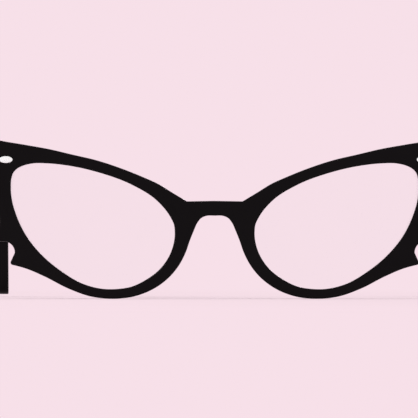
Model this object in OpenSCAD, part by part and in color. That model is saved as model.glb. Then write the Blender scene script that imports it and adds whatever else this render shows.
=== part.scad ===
// Winged cat-eye glasses: an acetate front with clear lenses, riveted hinges and two arms with an ear bend.
// The front faces -Y and the arms run back along +Y. x = 0 is the mirror plane and z = 0 the lowest point
// of the rims. Left is the wearer's left, at +X. Each sub-part is drawn on the left and mirrored.

/* [Lens openings] */
// Width of a lens opening
lens_w = 51.1; // [46:0.1:56]
// Height of a lens opening
lens_h = 39.15; // [35:0.05:43]
// Distance between the two lens openings
bridge_w = 24.6; // [22:0.2:28]
// Depth of the groove around a lens opening
groove_depth = 0.9; // [0.5:0.1:1.2]

/* [Lenses] */
// Thickness of a lens
lens_t = 2; // [1.4:0.1:2.4]
// How far the lens lies behind the front surface of the rim
lens_set = 1; // [0.6:0.1:1.2]
// Clearance between a lens and its groove, all round
lens_gap = 0.05; // [0.02:0.01:0.1]

/* [Front] */
// Thickness of the rims and the bridge, front to back
front_t = 4; // [3.8:0.1:5]
// Radius of the wrap around the face, at the front surface
wrap_r = 350; // [250:10:600]
// Wall of the rim below the lens
rim_low = 2.95; // [2.4:0.05:4]
// Wall of the rim beside the nose
rim_nose = 4.2; // [3.4:0.1:5]
// Wall of the brow above the middle of the lens
brow_t = 3.5; // [2.8:0.1:5]
// Height of the arch over the nose, from the lowest point of the rims
arch_z = 25.8; // [23:0.1:27]
// Height of the bridge bar
bridge_h = 4.45; // [3.5:0.1:5.5]

/* [Wings and fins] */
// Reach of the wing tip beyond the lens opening
wing_out = 10; // [9:0.1:14]
// Rise of the wing tip above the lens opening
wing_up = 8.3; // [7:0.1:12]
// Radius of the wing tip
wing_r = 0.9; // [0.5:0.1:1.5]
// Radius of the tip of the small lower fin
fin_r = 0.7; // [0.4:0.1:1]
// Radius of the round notch between the two fins
notch_r = 3.45; // [3:0.05:3.8]
// Radius of the tip of the upper fin
flick_r = 0.9; // [0.5:0.1:1.2]

/* [End blocks] */
// How far the end block reaches inward from the hinge pin
block_in = 2.5; // [2:0.1:4]
// How far the end block reaches below the hinge plate
block_low = 2.2; // [1:0.1:4]
// How far the flat back of the end block stands behind the wing tip
block_extra = 0.4; // [0.2:0.1:2]

/* [Nose pads] */
// Length of a nose pad along the side of the nose
pad_len = 12; // [10:0.5:15]
// How far a nose pad stands behind the rim
pad_depth = 6.4; // [4:0.2:8]
// Thickness of a nose pad
pad_t = 1.9; // [1.4:0.1:2.2]
// How far the pad lies behind the nose edge of the rim
pad_inset = 0.7; // [0.3:0.1:0.8]
// Lean of a pad away from upright
pad_tilt = 27; // [20:1:30]
// Outward turn of a pad towards the face
pad_splay = 12; // [5:1:15]
// Thickness of the glue line
glue_gap = 0.05; // [0.02:0.01:0.1]

/* [Hinges] */
// How far the hinge pin stands outside the lens opening
hinge_out = 0.5; // [0.4:0.1:2]
// How far the middle of the hinge stands above the lens opening
hinge_up = 1.05; // [0.5:0.05:2]
// Radius of the knuckles
knuckle_r = 1.4; // [1.2:0.05:1.6]
// Height of the three knuckles together
hinge_h = 5.6; // [5:0.1:6.4]
// Height of the middle knuckle
middle_h = 2; // [1.6:0.1:2.6]
// Running gap between two knuckles
knuckle_gap = 0.08; // [0.04:0.01:0.15]
// Gap between the middle knuckle and the front plate
leaf_gap = 0.3; // [0.2:0.05:0.5]
// Gap between the outer knuckles and the arm
barrel_gap = 0.3; // [0.15:0.05:0.4]
// Height of the hinge plates
leaf_h = 7; // [6.6:0.1:8]
// Thickness of the hinge plates
leaf_t = 1; // [0.8:0.1:1.3]
// Width of the plate in the front, outward from the pin
front_leaf_out = 3.5; // [3.2:0.1:5]
// Width of the plate in the front, inward from the pin
front_leaf_in = 1.2; // [1:0.1:1.5]
// Length of the plate in the arm, behind the pin
temple_leaf_len = 9.4; // [8.8:0.2:12]

/* [Hinge screws] */
// Radius of the screw's shank
screw_r = 0.7; // [0.5:0.05:0.8]
// Running clearance of the screw in the knuckles
screw_gap = 0.04; // [0.02:0.01:0.08]
// Radius of the screw head
head_r = 1.2; // [1.05:0.05:1.35]
// Height of the screw head
head_h = 0.7; // [0.5:0.05:1]
// Width of the slot in the head
slot_w = 0.3; // [0.2:0.05:0.4]
// Depth of the slot in the head
slot_d = 0.35; // [0.2:0.05:0.4]

/* [Plaques] */
// Width of the white oval
plaque_w = 4.3; // [4:0.1:5]
// Height of the white oval
plaque_h = 2.1; // [1.8:0.05:3]
// Thickness of the oval
plaque_t = 0.8; // [0.6:0.1:1]
// How far the oval stands proud of the front
plaque_proud = 0.3; // [0.1:0.05:0.4]
// How far the middle of the oval stands outside the hinge pin
plaque_out = 1; // [0.6:0.1:1.4]
// Distance between the two rivet pins of a plaque
plaque_pitch = 2.6; // [2.2:0.1:2.8]
// Radius of the rivet pins of a plaque
plaque_pin_r = 0.45; // [0.35:0.05:0.55]

/* [Temples] */
// Thickness of a temple
temple_t = 3.4; // [2.8:0.1:4]
// Height of a temple at the hinge
temple_h = 10; // [9:0.2:11]
// Height of a temple just before the ear bend
waist_h = 5.5; // [4.5:0.1:7]
// Height of a temple at its tip
tip_h = 8; // [6:0.2:9]
// Length from the hinge pin to the ear bend
straight_len = 86; // [75:1:95]
// Radius of the ear bend along the middle of the temple
bend_r = 22; // [16:1:30]
// Angle through which the ear end drops
bend_angle = 58; // [45:1:65]
// Height of the ear ends above the lowest point of the rims
tip_lift = 0.8; // [0:0.1:4]
// Gap between the end of the temple and the front
butt_gap = 0.15; // [0.05:0.05:0.3]

/* [Temple rivets and cores] */
// Radius of a temple rivet
rivet_r = 0.5; // [0.4:0.05:0.6]
// Radius of a rivet head
rivet_head_r = 1; // [0.8:0.05:1.2]
// Height of a rivet head
rivet_head_h = 0.35; // [0.2:0.05:0.5]
// Distance from the hinge pin to the first rivet
rivet_start = 3.2; // [2.8:0.1:3.6]
// Distance between the two rivets
rivet_pitch = 4.2; // [3.6:0.1:4.4]
// Thickness of the wire core
core_t = 1.2; // [0.8:0.1:1.4]
// Height of the wire core
core_h = 2.2; // [1.4:0.1:2.6]
// Distance from the hinge plate to the wire core
core_start = 2; // [1:0.2:8]
// Distance from the wire core to the end of the ear lobe
core_end = 5; // [4.2:0.2:10]

/* [Hidden] */

// Clearance around pieces that are pressed or cast into another
fit = 0.03;
// How far a cut runs past the surface that it cuts
over = 1;
// Straight pieces per stretch of a curve, and per rounded tip
curve_steps = 4;
tip_steps = 6;
// Facets of small round parts and of the wrap
round_fn = 48;
wrap_fn = 720;

// How far the front surface falls back at a distance x from the mirror plane
function sag(x) = wrap_r - sqrt(wrap_r * wrap_r - x * x);

// A point placed on the box around the left lens opening, u across and v up, and moved by millimetres
lens_x = bridge_w / 2;
function on(u, v, move = [0, 0]) = [lens_x + u * lens_w, rim_low + v * lens_h] + move;

// Places along the width and the height, worked out from the openings
wing_x = lens_x + lens_w + wing_out;
hinge_x = lens_x + lens_w + hinge_out;
hinge_z = rim_low + lens_h + hinge_up;
temple_x = hinge_x + knuckle_r + barrel_gap;
plaque_x = hinge_x + plaque_out;
hinge_low = hinge_z - hinge_h / 2;
leaf_low = hinge_z - leaf_h / 2;
outer_knuckle_h = (hinge_h - middle_h) / 2 - knuckle_gap;

// Depths behind the foremost point of the front
end_depth = sag(wing_x) + front_t + block_extra;
pin_depth = end_depth + leaf_gap + knuckle_r;
drop_len = (hinge_z - tip_lift - tip_h / 2 - bend_r * (1 - cos(bend_angle))) / sin(bend_angle);
tip_depth = pin_depth + straight_len + bend_r * sin(bend_angle) + drop_len * cos(bend_angle);
overall_depth = tip_depth + tip_h / 2;

// The same places in the frame, whose origin is the middle of the overall depth
front_y = -overall_depth / 2;
end_y = front_y + end_depth;
pin_y = front_y + pin_depth;

// Smooth curve through points, with the slope at each point weighted by the lengths beside it
function chord(p, i) = p[i + 1] - p[i];
function heading(p, i) = chord(p, i) / norm(chord(p, i));
function inner_slope(p, i) =
    (heading(p, i - 1) * norm(chord(p, i)) + heading(p, i) * norm(chord(p, i - 1)))
    / (norm(chord(p, i)) + norm(chord(p, i - 1)));
function slope(p, i) =
    i == 0 ? (3 * heading(p, 0) - inner_slope(p, 1)) / 2
    : i == len(p) - 1 ? (3 * heading(p, i - 1) - inner_slope(p, i - 1)) / 2
    : inner_slope(p, i);
function blend(a, b, slope_a, slope_b, t) =
    a * (2 * t * t * t - 3 * t * t + 1) + b * (3 * t * t - 2 * t * t * t)
    + norm(b - a) * (slope_a * (t * t * t - 2 * t * t + t) + slope_b * (t * t * t - t * t));
function curve(p, first = 0, last = undef) = [
    for (i = [first : (is_undef(last) ? len(p) : last) - 2], k = [0 : curve_steps - 1])
        blend(p[i], p[i + 1], slope(p, i), slope(p, i + 1), k / curve_steps)
];
// Closed curve: three points of overlap at each end carry the slopes across the joint
function loop(p) =
    let (n = len(p), wound = [for (i = [-3 : n + 3]) p[(i + n) % n]])
    curve(wound, 3, n + 4);
function arc(centre, r, from, to) = [
    for (k = [0 : tip_steps])
        let (a = from + (to - from) * k / tip_steps)
        centre + r * [cos(a), sin(a)]
];
// A closed outline moved outward by a distance
function grown(p, distance) = [
    for (i = [0 : len(p) - 1])
        let (
            along = p[(i + 1) % len(p)] - p[(i + len(p) - 1) % len(p)],
            outward = [along[1], -along[0]] / norm(along)
        )
        p[i] + distance * outward
];
function oval(w, h) = [for (k = [0 : 35]) [w / 2 * cos(10 * k), h / 2 * sin(10 * k)]];
function mirrored(p) = [for (i = [len(p) - 1 : -1 : 0]) [-p[i][0], p[i][1]]];

// Lens opening, counter-clockwise from the lowest point
opening = loop([
    on(0.34, 0), on(0.44, 0), on(0.56, 0.04), on(0.69, 0.138), on(0.803, 0.258),
    on(0.903, 0.416), on(0.965, 0.58), on(0.995, 0.72), on(1, 0.81), on(0.996, 0.88),
    on(0.984, 0.925), on(0.96, 0.957), on(0.92, 0.982), on(0.87, 0.997), on(0.77, 0.998),
    on(0.66, 0.983), on(0.46, 0.925), on(0.259, 0.827), on(0.112, 0.706), on(0.027, 0.572),
    on(0.006, 0.515), on(0, 0.45), on(0.024, 0.29), on(0.086, 0.164), on(0.181, 0.068),
    on(0.265, 0.017)
]);

// Centres of the rounded tips. The two fins and the notch between them move as one.
fin_c = on(1, 0.21, [-0.75, 0]);
notch_c = fin_c + [2.85, 3.15];
flick_c = notch_c + [0.95, notch_r + flick_r];
wing_c = on(1, 1, [wing_out - wing_r, wing_up - wing_r]);

// Left half of the outline, from under the bridge around the nose, the fins and the wing to the brow
nose_and_rim = curve([
    [0, arch_z],
    [bridge_w * 0.11, arch_z - 0.1],
    [bridge_w * 0.17, arch_z - 0.75],
    [bridge_w * 0.222, arch_z - 2.3],
    on(0, 0.466, rim_nose * [-1.38, 0]),
    on(0, 0.4, rim_nose * [-1.08, -0.13]),
    on(0.016, 0.32, rim_nose * [-0.96, -0.28]),
    on(0.045, 0.236, rim_nose * [-0.86, -0.38]),
    on(0.09, 0.16, rim_nose * [-0.71, -0.55]),
    on(0.17, 0.08, [-2.1, -rim_low]),
    on(0.269, 0.019, [-1.1, -rim_low]),
    on(0.37, 0, [0, -rim_low]),
    on(0.496, 0.018, [0.8, -rim_low]),
    on(0.614, 0.08, [1.7, -rim_low]),
    on(0.739, 0.187, [2.8, -rim_low - 0.4]),
    on(0.823, 0.287, [4.2, -rim_low - 1.9]),
    fin_c - [0, fin_r]
]);
wing_edge = curve([
    flick_c + flick_r * [cos(15), sin(15)],
    on(1, 0.53, [0.31 * wing_out, 0]),
    on(1, 0.66, [0.36 * wing_out, 0]),
    on(1, 0.8, [0.49 * wing_out, 0]),
    on(1, 0.92, [0.62 * wing_out, 0]),
    on(1, 1, [0.79 * wing_out, 0.33 * wing_up]),
    wing_c + wing_r * [cos(-20), sin(-20)]
]);
brow = curve([
    wing_c + wing_r * [cos(105), sin(105)],
    on(1, 1, [0.31 * wing_out, 0.83 * wing_up]),
    on(0.915, 0.985, [0, brow_t + 2.7]),
    on(0.769, 0.998, [0, brow_t + 0.85]),
    on(0.624, 0.974, [0, brow_t + 0.05]),
    on(0.477, 0.93, [0, brow_t]),
    on(0.331, 0.865, [0, brow_t + 0.1]),
    on(0.186, 0.774, [0, brow_t + 0.7]),
    on(0.112, 0.704, [0, brow_t + 1.75]),
    on(0.112, 0.704, [-4.7, brow_t - 1.1]),
    [bridge_w * 0.352, arch_z + bridge_h - 0.15]
]);
half_outline = concat(
    nose_and_rim,
    arc(fin_c, fin_r, -80, 21),
    arc(notch_c, notch_r, 183, 95),
    arc(flick_c, flick_r, -85, 0),
    wing_edge,
    arc(wing_c, wing_r, -20, 90),
    brow,
    [[bridge_w * 0.352, arch_z + bridge_h - 0.15], [0, arch_z + bridge_h]]
);
outline = concat(half_outline, mirrored([for (i = [1 : len(half_outline) - 2]) half_outline[i]]));

// Middle line of the temple: straight, around the ear bend, then down, at a distance s behind the pin
bend_len = bend_r * bend_angle * PI / 180;
line_len = straight_len + bend_len + drop_len;
function fall(s) = s < straight_len ? 0 : min(bend_angle, (s - straight_len) / bend_len * bend_angle);
function line_at(s) =
    let (past = max(0, s - straight_len - bend_len), a = fall(s))
    [pin_y + min(s, straight_len) + bend_r * sin(a) + past * cos(a),
     hinge_z - bend_r * (1 - cos(a)) - past * sin(a)];
function upward(s) = [sin(fall(s)), cos(fall(s))];
function ease(t) = let (c = max(0, min(1, t))) c * c * (3 - 2 * c);
function temple_half(s) =
    s < straight_len ? temple_h / 2 + (waist_h - temple_h) / 2 * ease(s / straight_len)
    : waist_h / 2 + (tip_h - waist_h) / 2 * ease((s - straight_len) / (bend_len + drop_len));

// Where the temple starts, and the steps along it
butt_s = end_depth + butt_gap - pin_depth;
temple_steps = 40;
temple_s = [for (k = [0 : temple_steps]) butt_s + (line_len - butt_s) * k / temple_steps];
temple_profile = concat(
    [for (s = temple_s) line_at(s) - temple_half(s) * upward(s)],
    arc(line_at(line_len), tip_h / 2, -90 - bend_angle, 90 - bend_angle),
    [for (k = [temple_steps : -1 : 0]) line_at(temple_s[k]) + temple_half(temple_s[k]) * upward(temple_s[k])]
);
function wire_profile(from, to, half) =
    let (wire_s = [for (k = [0 : temple_steps]) from + (to - from) * k / temple_steps])
    concat(
        [for (s = wire_s) line_at(s) - half * upward(s)],
        [for (k = [temple_steps : -1 : 0]) line_at(wire_s[k]) + half * upward(wire_s[k])]
    );
core_from = temple_leaf_len + core_start;
core_to = line_len + tip_h / 2 - core_end;
core_x = temple_x + temple_t / 2;

// An outline in x and z as a solid between two depths
module plate(points, from, to) {
    translate([0, to, 0])
        rotate([90, 0, 0])
            linear_extrude(to - from)
                polygon(points);
}

// An outline in y and z as a solid between two distances from the mirror plane
module slab(points, from, to) {
    translate([from, 0, 0])
        rotate([90, 0, 90])
            linear_extrude(to - from)
                polygon(points);
}

// A box given by two opposite corners
module box(from, to) {
    translate(from)
        cube(to - from);
}

// Everything behind the wrapped surface that lies at a depth below the front surface
module behind_wrap(depth) {
    translate([0, front_y + wrap_r, -wing_up])
        cylinder(r = wrap_r - depth, h = hinge_z + 3 * wing_up, $fn = wrap_fn);
}

module wrapped(points, depth, thickness) {
    difference() {
        intersection() {
            plate(points, front_y - over, end_y + over);
            behind_wrap(depth);
        }
        behind_wrap(depth + thickness);
    }
}

module both_sides() {
    children();
    mirror([1, 0, 0])
        children();
}

// Upright round bar at the hinge pin
module pin_bar(r, from, to) {
    translate([hinge_x, pin_y, from])
        cylinder(r = r, h = to - from, $fn = round_fn);
}

module plaque_place() {
    translate([plaque_x, front_y + sag(plaque_x), hinge_z])
        rotate([0, 0, asin(plaque_x / wrap_r)])
            children();
}

module plaque_pins(r, from) {
    for (side = [-1, 1])
        translate([plaque_x + side * plaque_pitch / 2, from, hinge_z])
            rotate([-90, 0, 0])
                cylinder(r = r, h = end_y - from, $fn = round_fn);
}

module rivet_bars(r, from, to) {
    for (k = [0, 1])
        translate([from, pin_y + rivet_start + k * rivet_pitch, hinge_z])
            rotate([0, 90, 0])
                cylinder(r = r, h = to - from, $fn = round_fn);
}

module front_leaf(gap, back) {
    box([hinge_x - front_leaf_in - gap, end_y - leaf_t - gap, leaf_low - gap],
        [hinge_x + front_leaf_out + gap, back, leaf_low + leaf_h + gap]);
}

// The plate in the temple starts at the temple's end, so its seat is open there
module temple_leaf(gap, inner, start) {
    box([inner, start, leaf_low - gap],
        [temple_x + leaf_t + gap, pin_y + temple_leaf_len + gap, leaf_low + leaf_h + gap]);
}

module front() {
    color("black")
        difference() {
            intersection() {
                plate(outline, front_y - over, end_y);
                behind_wrap(0);
            }
            difference() {
                behind_wrap(front_t);
                both_sides()
                    box([hinge_x - block_in, front_y, leaf_low - block_low],
                        [wing_x + over, end_y + over, hinge_z + 2 * wing_up]);
            }
            both_sides() {
                plate(opening, front_y - over, end_y + over);
                wrapped(grown(opening, groove_depth), lens_set - lens_gap, lens_t + 2 * lens_gap);
                front_leaf(fit, end_y + over);
                plaque_pins(plaque_pin_r + fit, front_y);
                plaque_place()
                    plate(oval(plaque_w + 2 * fit, plaque_h + 2 * fit), -over, plaque_t - plaque_proud + fit);
            }
        }
}

module lens() {
    color("lightcyan")
        wrapped(grown(opening, groove_depth - lens_gap), lens_set, lens_t);
}

// The pad is an oval plate, leaned and turned about the nose edge and cut to the back of the rim
module nose_pad() {
    pad_place = on(0.02, 0.305, rim_nose * [-0.96, -0.28]);
    pad_front = front_y + sag(pad_place[0]) + front_t;
    color("black")
        intersection() {
            translate([pad_place[0], pad_front, pad_place[1]])
                rotate([0, -pad_tilt, 0])
                    translate([pad_inset, 0, 0])
                        rotate([0, 0, -pad_splay])
                            slab(oval(2 * pad_depth, pad_len), 0, pad_t);
            behind_wrap(front_t + glue_gap);
        }
}

module plaque() {
    color("white")
        union() {
            plaque_place()
                plate(oval(plaque_w, plaque_h), -plaque_proud, plaque_t - plaque_proud);
            plaque_pins(plaque_pin_r, front_y + sag(plaque_x));
        }
}

module front_hinge() {
    color("silver")
        difference() {
            union() {
                front_leaf(0, end_y);
                for (low = [hinge_low, hinge_low + hinge_h - outer_knuckle_h]) {
                    pin_bar(knuckle_r, low, low + outer_knuckle_h);
                    box([hinge_x - min(knuckle_r, front_leaf_in), end_y - leaf_t, low],
                        [hinge_x + knuckle_r, pin_y, low + outer_knuckle_h]);
                }
            }
            pin_bar(screw_r + screw_gap, hinge_low - over, hinge_low + hinge_h + over);
            plaque_pins(plaque_pin_r + fit, front_y);
        }
}

module hinge_screw() {
    top = hinge_low + hinge_h;
    color("gray")
        difference() {
            union() {
                pin_bar(screw_r, hinge_low, top + head_h);
                pin_bar(head_r, top, top + head_h);
            }
            box([hinge_x - slot_w / 2, pin_y - knuckle_r, top + head_h - slot_d],
                [hinge_x + slot_w / 2, pin_y + knuckle_r, top + head_h + over]);
        }
}

module temple() {
    color("black")
        difference() {
            slab(temple_profile, temple_x, temple_x + temple_t);
            temple_leaf(fit, temple_x - over, end_y);
            rivet_bars(rivet_r + fit, temple_x, temple_x + temple_t + over);
            slab(wire_profile(core_from - fit, core_to + fit, core_h / 2 + fit),
                core_x - core_t / 2 - fit, core_x + core_t / 2 + fit);
        }
}

module temple_hinge() {
    middle_low = hinge_z - middle_h / 2;
    color("silver")
        difference() {
            union() {
                temple_leaf(0, temple_x, end_y + butt_gap);
                pin_bar(knuckle_r, middle_low, middle_low + middle_h);
                box([hinge_x, pin_y - screw_r, middle_low],
                    [temple_x + leaf_t, pin_y + knuckle_r, middle_low + middle_h]);
            }
            pin_bar(screw_r + screw_gap, hinge_low - over, hinge_low + hinge_h + over);
            rivet_bars(rivet_r + fit, temple_x - over, temple_x + leaf_t + over);
        }
}

module temple_rivets() {
    color("silver")
        union() {
            rivet_bars(rivet_r, temple_x, temple_x + temple_t + rivet_head_h);
            rivet_bars(rivet_head_r, temple_x + temple_t, temple_x + temple_t + rivet_head_h);
        }
}

module temple_core() {
    color("silver")
        slab(wire_profile(core_from, core_to, core_h / 2), core_x - core_t / 2, core_x + core_t / 2);
}

front();
lens();  // left_lens
mirror([1, 0, 0]) lens();  // right_lens
nose_pad();  // left_nose_pad
mirror([1, 0, 0]) nose_pad();  // right_nose_pad
plaque();  // left_plaque
mirror([1, 0, 0]) plaque();  // right_plaque
front_hinge();  // left_front_hinge
mirror([1, 0, 0]) front_hinge();  // right_front_hinge
hinge_screw();  // left_hinge_screw
mirror([1, 0, 0]) hinge_screw();  // right_hinge_screw
temple();  // left_temple
mirror([1, 0, 0]) temple();  // right_temple
temple_hinge();  // left_temple_hinge
mirror([1, 0, 0]) temple_hinge();  // right_temple_hinge
temple_rivets();  // left_temple_rivets
mirror([1, 0, 0]) temple_rivets();  // right_temple_rivets
temple_core();  // left_temple_core
mirror([1, 0, 0]) temple_core();  // right_temple_core
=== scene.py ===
"""Winged cat-eye glasses: milled black acetate, clear lenses, white enamel studs and riveted hinges.

Sizes are in millimetres, in the frame of the solids: +X is the wearer's left, +Y is backward, +Z is up.
What goes to Blender itself, such as vertices, reliefs, lamps and the camera, is in metres.
"""

import logging
import math
from collections.abc import Callable, Mapping, Sequence
from dataclasses import dataclass, field
from enum import Enum

import bmesh
import bpy
import numpy as np
from mathutils import Matrix, Vector
from mathutils.geometry import delaunay_2d_cdt


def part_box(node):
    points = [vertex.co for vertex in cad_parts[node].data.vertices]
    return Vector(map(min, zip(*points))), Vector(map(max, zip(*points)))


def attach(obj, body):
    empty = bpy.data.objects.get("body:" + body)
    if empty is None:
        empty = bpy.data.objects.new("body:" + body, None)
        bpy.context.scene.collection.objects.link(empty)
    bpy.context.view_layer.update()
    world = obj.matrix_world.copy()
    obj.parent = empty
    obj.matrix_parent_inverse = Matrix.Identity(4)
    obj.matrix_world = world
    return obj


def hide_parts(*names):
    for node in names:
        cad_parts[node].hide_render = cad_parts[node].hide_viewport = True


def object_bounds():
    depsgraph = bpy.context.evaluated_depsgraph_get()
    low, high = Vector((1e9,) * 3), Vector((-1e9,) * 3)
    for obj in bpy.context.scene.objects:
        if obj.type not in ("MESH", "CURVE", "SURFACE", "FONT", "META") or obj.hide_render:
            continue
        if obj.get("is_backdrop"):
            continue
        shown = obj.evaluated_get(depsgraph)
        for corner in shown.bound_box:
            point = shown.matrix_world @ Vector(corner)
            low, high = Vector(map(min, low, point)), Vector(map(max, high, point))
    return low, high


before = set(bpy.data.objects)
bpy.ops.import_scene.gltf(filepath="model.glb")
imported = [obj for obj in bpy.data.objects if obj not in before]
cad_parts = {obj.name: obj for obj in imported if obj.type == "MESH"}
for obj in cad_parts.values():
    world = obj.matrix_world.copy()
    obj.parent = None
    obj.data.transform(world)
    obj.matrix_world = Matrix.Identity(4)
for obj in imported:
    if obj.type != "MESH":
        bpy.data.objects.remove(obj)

MM = 0.001
# Width and height of the picture, in pixels
IMAGE_PX = 418
# What one pixel covers at the front of the glasses, in millimetres
MM_PER_PX = 0.3103
FRONT_BODY = "front_frame"
# The attribute that marks worn edges
WEAR_MARKS = "edge_wear"

log = logging.getLogger("glasses")

# Points of a plane, one row for each
Outline = np.ndarray
# Plane points of a ring in a mesh, and their indexes
Ring = tuple[np.ndarray, np.ndarray]
# Height of a face over points of its plane
Height = Callable[[np.ndarray], np.ndarray]
# Puts plane points and heights into space
Place = Callable[[np.ndarray, np.ndarray], np.ndarray]


class Side(Enum):
    """The wearer's side on which a piece sits, as node names give it."""

    LEFT = "left"
    RIGHT = "right"

    @property
    def body(self) -> str:
        """The body of this side's arm."""
        return self.named("arm")

    def named(self, kind: str) -> str:
        """This side's name for a kind of node or body."""
        return f"{self.value}_{kind}"


class Lay(Enum):
    """Which way the lines of a brushed metal run, as the stretch of their pattern."""

    UPRIGHT = (1.0, 1.0, 0.06)
    LENGTHWISE = (1.0, 0.06, 1.0)
    ACROSS = (0.06, 1.0, 1.0)


# Curves and outlines, in millimetres

# Least value of one plus the cosine of a corner's turn: a sharper corner is mitred no further.
MITRE_LIMIT = 0.35
# Points are measured against an outline in this many lots, to spare memory.
LOTS = 40


def smooth(points: Sequence, spacing: float, first: int = 0, last: int | None = None) -> Outline:
    """Runs a smooth curve through points, with each slope weighted by the lengths beside it.

    Args:
        points: the control points.
        spacing: the longest step along the curve.
        first: the control point at which the returned stretch starts.
        last: one past the control point at which it ends.

    Returns:
        Points along the curve, without its last point.
    """
    knots = np.array(points, float)
    chord = np.diff(knots, axis=0)
    length = np.linalg.norm(chord, axis=1)
    way = chord / length[:, None]
    slope = np.empty_like(knots)
    slope[1:-1] = way[:-1] * length[1:, None] + way[1:] * length[:-1, None]
    slope[1:-1] /= (length[1:] + length[:-1])[:, None]
    slope[0] = (3 * way[0] - slope[1]) / 2
    slope[-1] = (3 * way[-1] - slope[-2]) / 2
    stretches = []
    for i in range(first, (len(knots) if last is None else last) - 1):
        steps = max(2, math.ceil(length[i] / spacing))
        t = (np.arange(steps) / steps)[:, None]
        stretches.append(
            knots[i] * (2 * t**3 - 3 * t**2 + 1)
            + knots[i + 1] * (3 * t**2 - 2 * t**3)
            + length[i] * (slope[i] * (t**3 - 2 * t**2 + t) + slope[i + 1] * (t**3 - t**2))
        )
    return np.concatenate(stretches)


def closed_curve(points: Sequence, spacing: float) -> Outline:
    """Runs a smooth closed curve through points.

    Args:
        points: the control points, in order.
        spacing: the longest step along the curve.

    Returns:
        Points along the whole curve, each one once.
    """
    count, lead = len(points), 3
    wound = [points[i % count] for i in range(-lead, count + lead + 1)]
    return smooth(wound, spacing, lead, count + lead + 1)


def arc(centre: np.ndarray, radius: float, start: float, stop: float, steps: int = 10) -> Outline:
    """Points along a round arc from one angle to another, in degrees."""
    angles = np.radians(np.linspace(start, stop, steps + 1))
    return centre + radius * np.column_stack([np.cos(angles), np.sin(angles)])


def on_circle(centre: np.ndarray, radius: float, angle: float) -> np.ndarray:
    """The point of a circle at an angle, in degrees."""
    return arc(centre, radius, angle, angle, 0)[0]


def oval(width: float, height: float, steps: int = 72) -> Outline:
    """A closed ellipse, counter-clockwise."""
    angles = np.arange(steps) * 2 * math.pi / steps
    return np.column_stack([width / 2 * np.cos(angles), height / 2 * np.sin(angles)])


def rounded_box(low: Sequence[float], high: Sequence[float], radius: float, steps: int = 5) -> Outline:
    """Draws a rectangle with rounded corners.

    Args:
        low: its low corner.
        high: its high corner.
        radius: radius of its corners.
        steps: steps round each corner.

    Returns:
        The outline, counter-clockwise.
    """
    (x0, z0), (x1, z1) = low, high
    corners = [(x1 - radius, z0 + radius, -90), (x1 - radius, z1 - radius, 0),
               (x0 + radius, z1 - radius, 90), (x0 + radius, z0 + radius, 180)]
    return np.concatenate([arc(np.array([x, z]), radius, a, a + 90, steps) for x, z, a in corners])


def offset(loop: Outline, distance: float) -> Outline:
    """Moves an outline outward, with mitred corners.

    Args:
        loop: the outline, counter-clockwise.
        distance: how far each of its sides moves.

    Returns:
        The moved outline, point for point.
    """
    step = np.roll(loop, -1, axis=0) - loop
    normal = np.column_stack([step[:, 1], -step[:, 0]]) / np.linalg.norm(step, axis=1)[:, None]
    before = np.roll(normal, 1, axis=0)
    lean = np.maximum(MITRE_LIMIT, 1 + (normal * before).sum(axis=1))
    return loop + distance * (normal + before) / lean[:, None]


def inside(points: np.ndarray, loop: Outline) -> np.ndarray:
    """Finds the points that lie within a closed outline.

    Args:
        points: the points to test.
        loop: the outline.

    Returns:
        True or False for each point.
    """
    result = np.zeros(len(points), bool)
    x, y = points[:, 0], points[:, 1]
    for (x0, y0), (x1, y1) in zip(loop, np.roll(loop, -1, axis=0)):
        if y0 != y1:
            result ^= ((y0 > y) != (y1 > y)) & (x < (x1 - x0) * (y - y0) / (y1 - y0) + x0)
    return result


def clearance(points: np.ndarray, loop: Outline) -> np.ndarray:
    """Measures how far points stay from the points of an outline.

    Args:
        points: the points to measure.
        loop: the outline.

    Returns:
        The distance from each point to the nearest point of the outline.
    """
    if not len(points) or not len(loop):
        return np.full(len(points), np.inf)
    lots = np.array_split(points, LOTS)
    return np.concatenate([np.linalg.norm(lot[:, None] - loop[None], axis=2).min(axis=1) for lot in lots])


def ease(t: np.ndarray | float) -> np.ndarray:
    """A smooth step from 0 to 1 as t runs from 0 to 1."""
    c = np.clip(t, 0, 1)
    return c * c * (3 - 2 * c)


# Meshes

# Distance, in metres, within which the points of a seam are welded
WELD = 1e-7
# Length, in metres, below which an edge is taken out
SLIVER = 1e-8
# Angle, in degrees, from which an edge is shaded sharp
SHARP = 38.0


@dataclass
class Wall:
    """One closed outline of a plate, and how the plate's wall runs along it from the near to the far face.

    Attributes:
        loop: the outline, counter-clockwise.
        hole: True where the plate lies outside the outline.
        near_round: radius of the edge at the near face.
        far_round: radius of the edge at the far face.
        groove: depth of a groove in the wall, and the distances from the near face between which it runs.
    """

    loop: Outline
    hole: bool = False
    near_round: float = 0.3
    far_round: float = 0.3
    groove: tuple[float, float, float] | None = None


@dataclass
class Seat:
    """A flat-bottomed recess in one face of a plate.

    Attributes:
        loop: its outline, counter-clockwise.
        floor: height of its floor.
        edge: width of the broken edge round its mouth.
    """

    loop: Outline
    floor: Height
    edge: float = 0.05


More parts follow.
